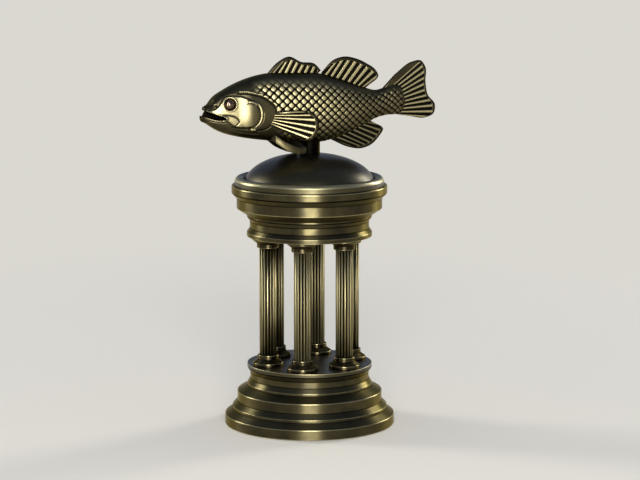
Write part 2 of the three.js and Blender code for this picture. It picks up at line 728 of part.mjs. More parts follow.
// Flat tang between two places, standing across the line that joins them
function tangBlock(from, to, reach, grown) {
  const run = to.clone().sub(from);
  const middle = from.clone().add(to).divideScalar(2);
  const deep = reach.length();
  const block = new THREE.BoxGeometry(run.length() + 2 * grown, TANG_T + 2 * grown, 2 * deep + 2 * grown);
  const alongAxis = run.normalize();
  const deepAxis = reach.clone().normalize();
  const flatAxis = deepAxis.clone().cross(alongAxis);
  const squareDeep = alongAxis.clone().cross(flatAxis);
  const frame = new THREE.Matrix4().makeBasis(alongAxis, flatAxis, squareDeep).setPosition(middle);
  return solid(block.applyMatrix4(frame));
}

// Fish: cast body with open mouth and gill covers, set eyes, and rayed fins let in by their tangs
function buildFish() {
  const gillRoom = throughBlock(grownOutline(GILL_PLATE)).intersect(bodyForm(GILL_PLATE_T + CLEARANCE));
  const skin = bodyForm(CLEARANCE).add(gillRoom);
  let body = bodyForm(0)
    .add(throughBlock(GILL_PLATE).intersect(bodyForm(GILL_PLATE_T)))
    .add(throughBlock(CHEEK_RIDGE).intersect(bodyForm(CHEEK_RIDGE_T)))
    .add(throughBlock(JAW_PLATE).intersect(bodyForm(LIP_PLATE_T)))
    .subtract(throughBlock(MOUTH).subtract(throughBlock(TONGUE, TONGUE_T)));

  const fins = [];
  const acrossY = new THREE.Vector3(0, 1, 0);
  const upZ = new THREE.Vector3(0, 0, 1);
  for (const [name, fin] of Object.entries(MEDIAN_FINS)) {
    const root = fin.root.map((place) => onFish(place));
    const edge = fin.edge.map((place) => onFish(place));
    const from = onFish(fin.tang.from);
    const to = onFish(fin.tang.to);
    const reach = to.clone().sub(from).cross(acrossY).setLength(TANG_DEPTH);
    const sheet = rayedSheet(root, edge, fin.rayCount, RAY_DEPTH, acrossY, FIN_T);
    fins.push({ name, sheet, from, to, reach });
  }

  const sides = [
    { hand: 'left', turn: (point) => point },
    { hand: 'right', turn: (point) => new THREE.Vector3(point.x, -point.y, point.z) },
  ];
  for (const [name, fin] of Object.entries(PAIRED_FINS)) {
    for (const { hand, turn } of sides) {
      const root = fin.root.map((place) => turn(onFish(place, -flankAt(place))));
      const edge = fin.edge.map((place, i) => turn(onFish(place, -fin.stand[i] * fin.spread)));
      const [from, to] = root;
      const reach = edge[Math.floor(edge.length / 2)].clone().sub(from.clone().lerp(to, 0.5));
      const normal = fin.upright ? upZ : to.clone().sub(from).cross(reach).normalize();
      reach.setLength(TANG_DEPTH);
      const sunk = root.map((point) => point.clone().addScaledVector(reach, -PAIRED_SINK / TANG_DEPTH));
      const sheet = rayedSheet(sunk, edge, fin.rayCount, fin.rayDepth, normal, fin.thickness);
      fins.push({ name: `${name}_${hand}`, sheet, from, to, reach });
    }
  }
  for (const { name, sheet, from, to, reach } of fins) {
    body = body.subtract(tangBlock(from, to, reach, CLEARANCE));
    add(trophy, name, sheet.subtract(skin).add(tangBlock(from, to, reach, 0)), BRASS);
  }

  const eyeSide = flankAt(EYE_PLACE) - EYE_SINK;
  for (const { hand, turn } of sides) {
    const centre = turn(onFish(EYE_PLACE, -eyeSide));
    const ball = (radius) => solid(new THREE.SphereGeometry(radius, EYE_SIDES, EYE_RINGS))
      .translate(centre.toArray());
    body = body.subtract(ball(EYE_R + CLEARANCE));
    add(trophy, `eye_${hand}`, ball(EYE_R), DARK_BRASS);
  }

  const studTopZ = postTopZ + STUD_GRIP;
  const postSocket = rod(POST_R + CLEARANCE, seatZ, postTopZ, COLUMN_SIDES);
  const studSocket = rod(STUD_R + ROD_CLEARANCE, seatZ, studTopZ + CLEARANCE, ROD_SIDES);
  add(trophy, 'fish_body', body.subtract(postSocket).subtract(studSocket), BRASS);

  const post = rod(POST_R, seatZ, postTopZ, COLUMN_SIDES).subtract(studSocket.translate([0, 0, -POST_GAP]));
  add(trophy, 'fish_post', post, BRASS);
  const studZ = ceilingZ + BLIND_FLOOR + CLEARANCE;
  add(trophy, 'fish_stud', rod(STUD_R, studZ, studTopZ, ROD_SIDES), STEEL);
}

buildBase();
buildColumns();
buildEntablature();
buildFish();

export default trophy;
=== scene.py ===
"""Fishing trophy dressed for a studio picture: a cast bass over a domed rotunda of fluted columns.

Lengths are in metres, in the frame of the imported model: +Z up, the fish along X with its nose to -X.
"""

import json
import logging
import math
from dataclasses import dataclass, field
from enum import Enum

import bpy
import numpy as np
from bpy.types import ID, Material, Mesh, Node, NodeSocket, NodeTree, Object
from mathutils import Matrix, Vector


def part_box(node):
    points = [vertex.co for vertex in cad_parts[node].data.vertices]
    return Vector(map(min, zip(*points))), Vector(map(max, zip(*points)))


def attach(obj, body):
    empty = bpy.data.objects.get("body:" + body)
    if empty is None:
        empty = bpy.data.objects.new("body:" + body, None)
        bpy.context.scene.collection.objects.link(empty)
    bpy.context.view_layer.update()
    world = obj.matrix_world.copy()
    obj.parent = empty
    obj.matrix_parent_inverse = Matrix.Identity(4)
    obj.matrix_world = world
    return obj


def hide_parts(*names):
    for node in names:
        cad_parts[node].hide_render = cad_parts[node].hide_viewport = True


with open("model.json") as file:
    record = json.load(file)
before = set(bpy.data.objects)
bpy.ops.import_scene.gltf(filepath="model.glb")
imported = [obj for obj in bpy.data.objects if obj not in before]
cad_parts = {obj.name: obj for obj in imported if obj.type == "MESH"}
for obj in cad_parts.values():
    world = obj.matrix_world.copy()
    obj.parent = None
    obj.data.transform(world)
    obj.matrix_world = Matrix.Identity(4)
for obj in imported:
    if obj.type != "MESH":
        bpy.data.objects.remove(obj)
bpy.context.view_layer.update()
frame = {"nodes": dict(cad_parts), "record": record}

MM = 0.001
TINY = 1e-12
BODY = "root"
LOG = logging.getLogger("trophy")

Point2 = tuple[float, float]
Marks = dict[str, np.ndarray]


class SocketKind(Enum):
    """Kinds of input that a Geometry Nodes tree here takes."""

    GEOMETRY = "NodeSocketGeometry"
    NUMBER = "NodeSocketFloat"
    COUNT = "NodeSocketInt"
    MATERIAL = "NodeSocketMaterial"


class Edge(Enum):
    """What became of a turned edge: worn bright, darkened in a seam, or hidden; some marks paint highlight
    and shade.
    """

    WORN = "wear"
    SEAM = "grime"
    HIDDEN = ""


class Grain(Enum):
    """How a brass surface was made, which sets the run of its fine marks."""

    TURNED = "turned"
    CAST = "cast"


class Hand(Enum):
    """Side of the fish, with the sign of its Y."""

    LEFT = -1.0
    RIGHT = 1.0


def linear(code: str) -> tuple[float, float, float, float]:
    """Turn an sRGB hex colour into linear RGBA.

    Args:
        code: Colour such as "#9a8c5e".

    Returns:
        Linear red, green, blue and an alpha of one.
    """
    parts = [int(code[i:i + 2], 16) / 255 for i in (1, 3, 5)]
    red, green, blue = (p / 12.92 if p <= 0.04045 else ((p + 0.055) / 1.055) ** 2.4 for p in parts)
    return red, green, blue, 1.0


def add_node(tree: NodeTree, kind: str, links: dict | None = None, **settings: object) -> Node:
    """Add a node with its settings, and link or set its inputs.

    Args:
        tree: Tree that receives the node.
        kind: Blender's name of the node type.
        links: Input name or index, with the socket, the node (its first output) or the constant it takes.
        settings: Properties of the node itself.

    Returns:
        The new node.
    """
    node = tree.nodes.new(kind)
    for name, value in settings.items():
        setattr(node, name, value)
    for key, value in (links or {}).items():
        if isinstance(value, Node):
            value = value.outputs[0]
        if isinstance(value, NodeSocket):
            tree.links.new(value, node.inputs[key])
        else:
            node.inputs[key].default_value = value
    return node


def new_material(name: str) -> tuple[Material, NodeTree, NodeSocket]:
    """Start an empty node material.

    Args:
        name: Name of the material.

    Returns:
        The material, its tree and its Object coordinates.
    """
    material = bpy.data.materials.new(name)
    material.use_nodes = True
    tree = material.node_tree
    tree.nodes.clear()
    return material, tree, add_node(tree, "ShaderNodeTexCoord").outputs["Object"]


def placed(name: str, data: ID) -> Object:
    """Put a new object into the scene at the origin.

    Args:
        name: Name of the object.
        data: Its mesh, light or camera.

    Returns:
        The object.
    """
    thing = bpy.data.objects.new(name, data)
    bpy.context.scene.collection.objects.link(thing)
    return thing


def new_tree(name: str, inputs: dict[str, SocketKind]) -> tuple[NodeTree, Node]:
    """Start a Geometry Nodes tree with named inputs and one geometry output.

    Args:
        name: Name of the tree.
        inputs: Names and kinds of its inputs.

    Returns:
        The tree and its group input node.
    """
    tree = bpy.data.node_groups.new(name, "GeometryNodeTree")
    for label, kind in inputs.items():
        tree.interface.new_socket(label, in_out="INPUT", socket_type=kind.value)
    tree.interface.new_socket("Geometry", in_out="OUTPUT", socket_type=SocketKind.GEOMETRY.value)
    return tree, add_node(tree, "NodeGroupInput")


def close_tree(tree: NodeTree, shape: Node, given: Node) -> NodeTree:
    """End a tree in Realize Instances and Set Material.

    Args:
        tree: Tree to end.
        shape: Node whose first output is the shape.
        given: Group input node, which has a Material input.

    Returns:
        The same tree.
    """
    real = add_node(tree, "GeometryNodeRealizeInstances", {"Geometry": shape})
    dressed = add_node(tree, "GeometryNodeSetMaterial", {
        "Geometry": real, "Material": given.outputs["Material"]})
    add_node(tree, "NodeGroupOutput", {0: dressed})
    return tree


def grown(name: str, mesh: Mesh, tree: NodeTree, values: dict[str, object]) -> Object:
    """Run a Geometry Nodes tree on a mesh and keep the result as a plain mesh object.

    Args:
        name: Name of the piece.
        mesh: Mesh that the tree starts from.
        tree: Tree to run.
        values: Values of the tree's named inputs.

    Returns:
        The finished object, with no modifier left.
    """
    piece = bpy.data.objects.new(name, mesh)
    modifier = piece.modifiers.new(tree.name, "NODES")
    modifier.node_group = tree
    sockets = {s.name: s.identifier for s in tree.interface.items_tree if s.in_out == "INPUT"}
    for label, value in values.items():
        modifier[sockets[label]] = value
    bpy.context.scene.collection.objects.link(piece)
    graph = bpy.context.evaluated_depsgraph_get()
    plain = bpy.data.meshes.new_from_object(
        piece.evaluated_get(graph), preserve_all_data_layers=True, depsgraph=graph)
    piece.modifiers.remove(modifier)
    piece.data = plain
    plain.name = name
    return piece


def new_mesh(name: str, points: np.ndarray, faces: list, marks: Marks) -> Mesh:
    """Make a smooth mesh with point attributes, its faces turned outwards.

    Args:
        name: Name of the mesh.
        points: One row of coordinates per vertex.
        faces: Vertex indices of each face, all turning the same way.
        marks: Attribute names with one value or vector per vertex.

    Returns:
        The mesh.
    """
    fans = [(f[0], f[k], f[k + 1]) for f in faces for k in range(1, len(f) - 1)]
    first, second, third = (points[np.array(fans)[:, k]] for k in range(3))
    volume = np.einsum("ij,ij->", first, np.cross(second, third))
    if volume < 0:
        faces = [tuple(reversed(face)) for face in faces]
    mesh = bpy.data.meshes.new(name)
    mesh.from_pydata(points.tolist(), [], faces)
    for label, values in marks.items():
        flat = values.ndim == 1
        layer = mesh.attributes.new(label, "FLOAT" if flat else "FLOAT_VECTOR", "POINT")
        layer.data.foreach_set("value" if flat else "vector", values.astype(np.float32).ravel())
    mesh.shade_smooth()
    return mesh


def seat(piece: Object, nodes: list[str]) -> Object:
    """Let a finished piece ride on the trophy and stand for its solids.

    Args:
        piece: Finished object.
        nodes: Solids that the piece stands for.

    Returns:
        The same object.
    """
    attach(piece, BODY)
    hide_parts(*nodes)
    LOG.info("%s: %d faces, stands for %d solids", piece.name, len(piece.data.polygons), len(nodes))
    return piece


def through(knots: np.ndarray, values: np.ndarray, at: np.ndarray) -> np.ndarray:
    """Read a smooth cubic curve that passes through its knots.

    Args:
        knots: Rising parameters of the knots.
        values: One row of values per knot.
        at: Parameters to read.

    Returns:
        One row of values per parameter.
    """
    slopes = np.gradient(values, knots, axis=0)
    low = np.clip(np.searchsorted(knots, at) - 1, 0, len(knots) - 2)
    step = (knots[low + 1] - knots[low])[:, None]
    t = ((at - knots[low])[:, None]) / step
    rise = values[low + 1] - values[low]
    bend_in = slopes[low] * step - rise
    bend_out = rise - slopes[low + 1] * step
    return values[low] + t * rise + t * (1 - t) * ((1 - t) * bend_in + t * bend_out)


# How finely curves are read: steps of any curve, steps per point of a line, probes of a fin, lanes per groove
CURVE_STEPS = 400
LINE_STEPS = 12
FIN_PROBES = 60
LANES_PER_GROOVE = 8


def along_curve(points: np.ndarray, shares: np.ndarray) -> np.ndarray:
    """Read points at equal shares of the length of a smooth curve.

    Args:
        points: Points that the curve passes through.
        shares: Shares of its length, from 0 to 1.

    Returns:
        One point per share.
    """
    chords = np.concatenate([[0], np.cumsum(np.linalg.norm(np.diff(points, axis=0), axis=1))])
    fine = through(chords, points, np.linspace(0, chords[-1], CURVE_STEPS))
    run = np.concatenate([[0], np.cumsum(np.linalg.norm(np.diff(fine, axis=0), axis=1))])
    return np.stack([np.interp(shares * run[-1], run, fine[:, k]) for k in range(fine.shape[1])], axis=1)


def smoothstep(low: float, high: float, x: np.ndarray) -> np.ndarray:
    """Rise smoothly from 0 at low to 1 at high."""
    t = np.clip((x - low) / (high - low), 0, 1)
    return t * t * (3 - 2 * t)


def crowded(count: int, crowding: float) -> np.ndarray:
    """Share out count + 1 places from 0 to 1, closer together near both ends."""
    t = np.linspace(0, 1, count + 1)
    return t - crowding * np.sin(2 * np.pi * t) / (2 * np.pi)


@dataclass(frozen=True)
class AntiqueBrass:
    """Brass under a dark patina, worn bright on high points, black in recesses; these colours also paint
    highlight and shade.
    """

    name: str
    grain: Grain
    rubbed_and_lit: str = "#c8bb8b"
    polished: str = "#5c553a"
    tarnished: str = "#454030"
    grazing: str = "#efe2bd"
    recess_and_shade: str = "#12100b"
    roughness: float = 0.27
    rubbed_roughness: float = 0.22
    anisotropy: float = 0.0
    recess_roughness: float = 0.6
    blotch: float = 16 * MM
    blotch_range: Point2 = (0.36, 0.64)
    unevenness: float = 0.08
    grain_width: float = 0.8 * MM
    grain_depth: float = 0.02 * MM
    grain_strength: float = 0.35
    wear_strength: float = 0.8
    quarter_turn: float = 0.25

    def build(self) -> Material:
        """Make the node material.

        Returns:
            A material that reads Object coordinates and the piece's marks for worn edges, patina, painted
            highlight and painted shade.
        """
        material, tree, place = new_material(self.name)

        # Cloudy tarnish: broad soft blotches where the lacquer let the air in
        clouds = add_node(tree, "ShaderNodeTexNoise", {
            "Vector": place, "Scale": 1 / self.blotch, "Detail": 4.0})
        cloud = add_node(tree, "ShaderNodeMapRange", {
            "Value": clouds, "From Min": self.blotch_range[0], "From Max": self.blotch_range[1]})
        tone = add_node(tree, "ShaderNodeMix", {
            "Factor": cloud, 6: linear(self.polished), 7: linear(self.tarnished)}, data_type="RGBA")
        # Bright mix for wear and painted highlight, black mix for patina and painted shade
        wear = add_node(tree, "ShaderNodeAttribute", attribute_name="wear").outputs["Fac"]
        grime = add_node(tree, "ShaderNodeAttribute", attribute_name="grime").outputs["Fac"]
        rub = add_node(tree, "ShaderNodeMath", {0: wear, 1: self.wear_strength}, operation="MULTIPLY")
        lit = add_node(tree, "ShaderNodeMix", {"Factor": rub, 6: tone.outputs[2], 7: linear(self.rubbed_and_lit)},
                       data_type="RGBA")
        dark = add_node(tree, "ShaderNodeMix", {"Factor": grime, 6: lit.outputs[2], 7: linear(self.recess_and_shade)},
                        data_type="RGBA")

        # Polish: smooth on rubbed edges, dull in the recesses, a little uneven between
        dull = add_node(tree, "ShaderNodeMapRange", {
            "Value": cloud, "To Min": self.roughness, "To Max": self.roughness + self.unevenness})
        keen = add_node(tree, "ShaderNodeMix", {"Factor": rub, "A": dull, "B": self.rubbed_roughness})
        rough = add_node(tree, "ShaderNodeMix", {"Factor": grime, "A": keen, "B": self.recess_roughness})

        # Fine marks, drawn coarse enough to show at the size of the picture
        marks = add_node(tree, "ShaderNodeTexNoise", {
            "Vector": self._grain_run(tree, place), "Scale": 1 / self.grain_width, "Detail": 2.0})
        relief = add_node(tree, "ShaderNodeBump", {
            "Height": marks, "Strength": self.grain_strength, "Distance": self.grain_depth})
        sockets = {"Base Color": dark.outputs[2], "Metallic": 1.0, "Roughness": rough, "Normal": relief,
                   "Specular Tint": linear(self.grazing)}
        if self.grain is Grain.TURNED:
            # The rings left by the lathe draw every light out into an upright band
            rings = add_node(tree, "ShaderNodeTangent", direction_type="RADIAL", axis="Z")
            sockets |= {"Anisotropic": self.anisotropy, "Anisotropic Rotation": self.quarter_turn,
                        "Tangent": rings}
        surface = add_node(tree, "ShaderNodeBsdfPrincipled", sockets)
        add_node(tree, "ShaderNodeOutputMaterial", {"Surface": surface})
        return material

    def _grain_run(self, tree: NodeTree, place: NodeSocket) -> NodeSocket:
        """Lay the fine marks along the way that the surface was worked.

        Args:
            tree: Tree of the material.
            place: Object coordinates.

        Returns:
            Coordinates for the marks: rings when turned, pits when cast.
        """
        if self.grain is Grain.CAST:
            return place
        parts = add_node(tree, "ShaderNodeSeparateXYZ", {0: place})
        flat = add_node(tree, "ShaderNodeCombineXYZ", {0: parts.outputs[0], 1: parts.outputs[1]})
        radius = add_node(tree, "ShaderNodeVectorMath", {0: flat}, operation="LENGTH").outputs["Value"]
        return add_node(tree, "ShaderNodeCombineXYZ", {0: radius, 1: parts.outputs[2]}).outputs[0]


@dataclass(frozen=True)
class ZincSteel:
    """Zinc-plated steel of the hidden fasteners: pale grey with the faint spangle of the plating."""

    name: str = "zinc_plated_steel"
    bright: str = "#9fa3a6"
    dull: str = "#7f8386"
    spangle: float = 1.6 * MM
    roughness: Point2 = (0.3, 0.45)

    def build(self) -> Material:
        """Make the node material.

        Returns:
            A metal with small cells of two greys.
        """
        material, tree, place = new_material(self.name)
        cells = add_node(tree, "ShaderNodeTexVoronoi", {"Vector": place, "Scale": 1 / self.spangle})
        tone = add_node(tree, "ShaderNodeMix", {
            "Factor": cells.outputs["Distance"], 6: linear(self.bright), 7: linear(self.dull)},
            data_type="RGBA")
        rough = add_node(tree, "ShaderNodeMapRange", {
            "Value": cells.outputs["Distance"], "To Min": self.roughness[0], "To Max": self.roughness[1]})
        surface = add_node(tree, "ShaderNodeBsdfPrincipled", {
            "Base Color": tone.outputs[2], "Metallic": 1.0, "Roughness": rough})
        add_node(tree, "ShaderNodeOutputMaterial", {"Surface": surface})
        return material


@dataclass(frozen=True)
class WoolFelt:
    """Pressed wool felt under the foot: a matt dark green mat of short matted fibres."""

    name: str = "wool_felt"
    pile: str = "#26382e"
    shade: str = "#18241d"
    fibre: float = 0.7 * MM
    tangle: float = 1.5
    nap: float = 0.2 * MM
    nap_strength: float = 0.6
    roughness: float = 0.95
    sheen: float = 0.3

    def build(self) -> Material:
        """Make the node material.

        Returns:
            A rough cloth with fibre mottling and a soft sheen.
        """
        material, tree, place = new_material(self.name)
        fibres = add_node(tree, "ShaderNodeTexNoise", {
            "Vector": place, "Scale": 1 / self.fibre, "Detail": 5.0, "Distortion": self.tangle})
        tone = add_node(tree, "ShaderNodeMix", {
            "Factor": fibres, 6: linear(self.shade), 7: linear(self.pile)}, data_type="RGBA")
        nap = add_node(tree, "ShaderNodeBump", {
            "Height": fibres, "Strength": self.nap_strength, "Distance": self.nap})
        surface = add_node(tree, "ShaderNodeBsdfPrincipled", {
            "Base Color": tone.outputs[2], "Roughness": self.roughness, "Sheen Weight": self.sheen,
            "Normal": nap})
        add_node(tree, "ShaderNodeOutputMaterial", {"Surface": surface})
        return material


@dataclass(frozen=True)
class Corner:
    """Corner of a turned profile: radius, height, the round on it and what became of that edge."""

    radius: float
    height: float
    edge: Edge = Edge.HIDDEN
    fillet: float = 0.0


# Rounded edges: reach of the mark beside one, and shares of a side that the round and the mark may take
HOLD = {Edge.WORN: 0.18 * MM, Edge.SEAM: 0.7 * MM, Edge.HIDDEN: 0.1 * MM}
FILLET_STEPS = 4
CUT_SHARE = 0.4
HOLD_SHARE = 0.08


def rounded_profile(corners: list[Corner]) -> tuple[np.ndarray, Marks]:
    """Round the corners of a closed profile, with holding points that keep the flats flat.

    Args:
        corners: Corners in order around the profile.

    Returns:
        Points as rows of radius and height, and each point's bright and dark marks, which also paint
        highlight and shade.
    """
    places = np.array([(c.radius, c.height) for c in corners])
    points: list[np.ndarray] = []
    marks: dict[str, list[float]] = {Edge.WORN.value: [], Edge.SEAM.value: []}

    def put(point: np.ndarray, edge: Edge) -> None:
        """Add one point with the mark of its edge.

        Args:
            point: Radius and height.
            edge: What became of the edge there.
        """
        points.append(point)
        for label, values in marks.items():
            values.append(1.0 if edge.value == label else 0.0)

    for k, corner in enumerate(corners):
        here = places[k]
        back = places[k - 1] - here
        ahead = places[(k + 1) % len(corners)] - here
        if corner.fillet == 0:
            put(here, corner.edge)
            continue
        back_len, ahead_len = np.linalg.norm(back), np.linalg.norm(ahead)
        back, ahead = back / back_len, ahead / ahead_len
        opening = math.acos(float(np.clip(back @ ahead, -1, 1)))
        cut = min(corner.fillet / math.tan(opening / 2), CUT_SHARE * back_len, CUT_SHARE * ahead_len)
        hold = min(HOLD[corner.edge], HOLD_SHARE * back_len, HOLD_SHARE * ahead_len)
        start, end = here + back * cut, here + ahead * cut
        put(start + back * hold, Edge.HIDDEN)
        for t in np.linspace(0, 1, FILLET_STEPS + 1):
            put((1 - t) ** 2 * start + 2 * t * (1 - t) * here + t * t * end, corner.edge)
        put(end + ahead * hold, Edge.HIDDEN)
    return np.array(points), {label: np.array(values) for label, values in marks.items()}


def turned_mesh(name: str, corners: list[Corner], sides: int) -> Mesh:
    """Turn a closed profile about Z.

    Args:
        name: Name of the mesh.
        corners: Corners of the profile; those at radius 0 become poles.
        sides: Steps round the axis.

    Returns:
        The closed mesh with its bright and dark marks, which also paint highlight and shade.
    """
    profile, marks = rounded_profile(corners)
    angles = np.linspace(0, 2 * np.pi, sides, endpoint=False)
    index = np.zeros((len(profile), sides), int)
    points: list[tuple[float, float, float]] = []
    kept: list[int] = []
    for i, (radius, height) in enumerate(profile):
        turns = angles if radius > 0 else angles[:1]
        for j, angle in enumerate(turns):
            index[i, j] = len(points)
            points.append((radius * math.cos(angle), radius * math.sin(angle), height))
            kept.append(i)
        if radius == 0:
            index[i, :] = index[i, 0]
    faces = []
    for i in range(len(profile)):
        lower, upper = index[i], index[(i + 1) % len(profile)]
        for j in range(sides):
            following = (j + 1) % sides
            corners_here = [lower[j], lower[following], upper[following], upper[j]]
            face = tuple(dict.fromkeys(int(c) for c in corners_here))
            if len(face) > 2:
                faces.append(face)
    return new_mesh(name, np.array(points), faces, {label: values[kept] for label, values in marks.items()})


def outer_radius(node: str) -> float:
    """Outer radius of a turned solid about Z."""
    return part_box(node)[1].x


def level(node: str, top: bool) -> float:
    """Height of a solid's top or bottom."""
    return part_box(node)[1 if top else 0].z


def turned_piece(name: str, corners: list[Corner], sides: int, finish: Material,
                 nodes: list[str]) -> Object:
    """Turn one piece, dress it and seat it.

    Args:
        name: Name of the piece.
        corners: Corners of its profile.
        sides: Steps round the axis.
        finish: Material.
        nodes: Solids that it stands for.

    Returns:
        The finished object.
    """
    mesh = turned_mesh(name, corners, sides)
    mesh.materials.append(finish)
    return seat(placed(name, mesh), nodes)


TIER_SIDES = 192
CRISP = 0.35 * MM
SOFT = 0.7 * MM
SEAM = 0.3 * MM


@dataclass
class SteppedBase:
    """Felt, three hollow rings and the stylobate: the stepped round base."""

    wall: float = 3 * MM
    felt_margin: float = 2 * MM
    felt_proud: float = 0.6 * MM
    felt_round: float = 1 / 3
    foot_wall_h: float = 7.8 * MM
    ledge_h: float = 2.4 * MM
    ledge_slope_h: float = 4.1 * MM
    drum_in: float = 4 * MM
    drum_h: float = 7.9 * MM
    collar_h: float = 1.9 * MM
    neck_in: float = 2.4 * MM
    neck_slope_h: float = 3.8 * MM
    neck_h: float = 5.2 * MM

    def build(self, brass: Material, spun: Material, felt: Material) -> None:
        """Turn and dress the felt and the four pieces of the base.

        Args:
            brass: Finish of the turned rings.
            spun: Finish of the stylobate.
            felt: Finish of the pad.
        """
        foot_r, foot_z = outer_radius("foot_ring"), level("foot_ring", False)
        ledge_z = level("foot_ring", True)
        ledge_r, collar_z = outer_radius("plinth_ring"), level("plinth_ring", True)
        collar_r, stylobate_z = outer_radius("neck_ring"), level("neck_ring", True)
        floor_z = level("stylobate", True)
        drum_r = ledge_r - self.drum_in
        neck_r = collar_r - self.neck_in
        seat_r = foot_r - self.felt_margin
        foot_bore, drum_bore, neck_bore = ledge_r - self.wall, drum_r - self.wall, neck_r - self.wall
        wall_z = foot_z + self.foot_wall_h
        drum_z = ledge_z + self.ledge_h + self.ledge_slope_h
        neck_z = collar_z + self.collar_h + self.neck_slope_h

        turned_piece("foot_ring_turned", [
            Corner(foot_bore, foot_z + self.felt_proud),
            Corner(seat_r, foot_z + self.felt_proud),
            Corner(seat_r, foot_z),
            Corner(foot_r, foot_z, Edge.WORN, CRISP),
            Corner(foot_r, wall_z, Edge.WORN, SOFT),
            Corner(ledge_r, ledge_z, Edge.SEAM, SEAM),
            Corner(foot_bore, ledge_z),
        ], TIER_SIDES, brass, ["foot_ring"])
        turned_piece("plinth_ring_turned", [
            Corner(drum_bore, ledge_z),
            Corner(ledge_r, ledge_z, Edge.SEAM, SEAM),
            Corner(ledge_r, ledge_z + self.ledge_h, Edge.WORN, CRISP),
            Corner(drum_r, drum_z, Edge.SEAM, SEAM),
            Corner(drum_r, drum_z + self.drum_h, Edge.WORN, SOFT),
            Corner(collar_r, collar_z, Edge.SEAM, SEAM),
            Corner(neck_bore, collar_z),
            Corner(neck_bore, collar_z - self.wall),
            Corner(drum_bore, drum_z + self.drum_h - self.wall),
        ], TIER_SIDES, brass, ["plinth_ring"])
        turned_piece("neck_ring_turned", [
            Corner(neck_bore, collar_z),
            Corner(collar_r, collar_z, Edge.SEAM, SEAM),
            Corner(collar_r, collar_z + self.collar_h, Edge.WORN, CRISP),
            Corner(neck_r, neck_z, Edge.SEAM, SOFT),
            Corner(neck_r, neck_z + self.neck_h, Edge.SEAM, SOFT),
            Corner(collar_r, stylobate_z, Edge.SEAM, SEAM),
            Corner(neck_bore, stylobate_z),
        ], TIER_SIDES, brass, ["neck_ring"])
        turned_piece("stylobate_turned", [
            Corner(0, stylobate_z),
            Corner(collar_r, stylobate_z, Edge.SEAM, SEAM),
            Corner(collar_r, floor_z, Edge.WORN, CRISP),
            Corner(0, floor_z),
        ], TIER_SIDES, spun, ["stylobate"])

        felt_r, felt_top = outer_radius("felt_pad"), level("felt_pad", True)
        pad = turned_piece("felt_disc", [
            Corner(0, 0),
            Corner(felt_r, 0, Edge.HIDDEN, felt_top * self.felt_round),
            Corner(felt_r, felt_top, Edge.HIDDEN, felt_top * self.felt_round),
            Corner(0, felt_top),
        ], TIER_SIDES, felt, ["felt_pad"])


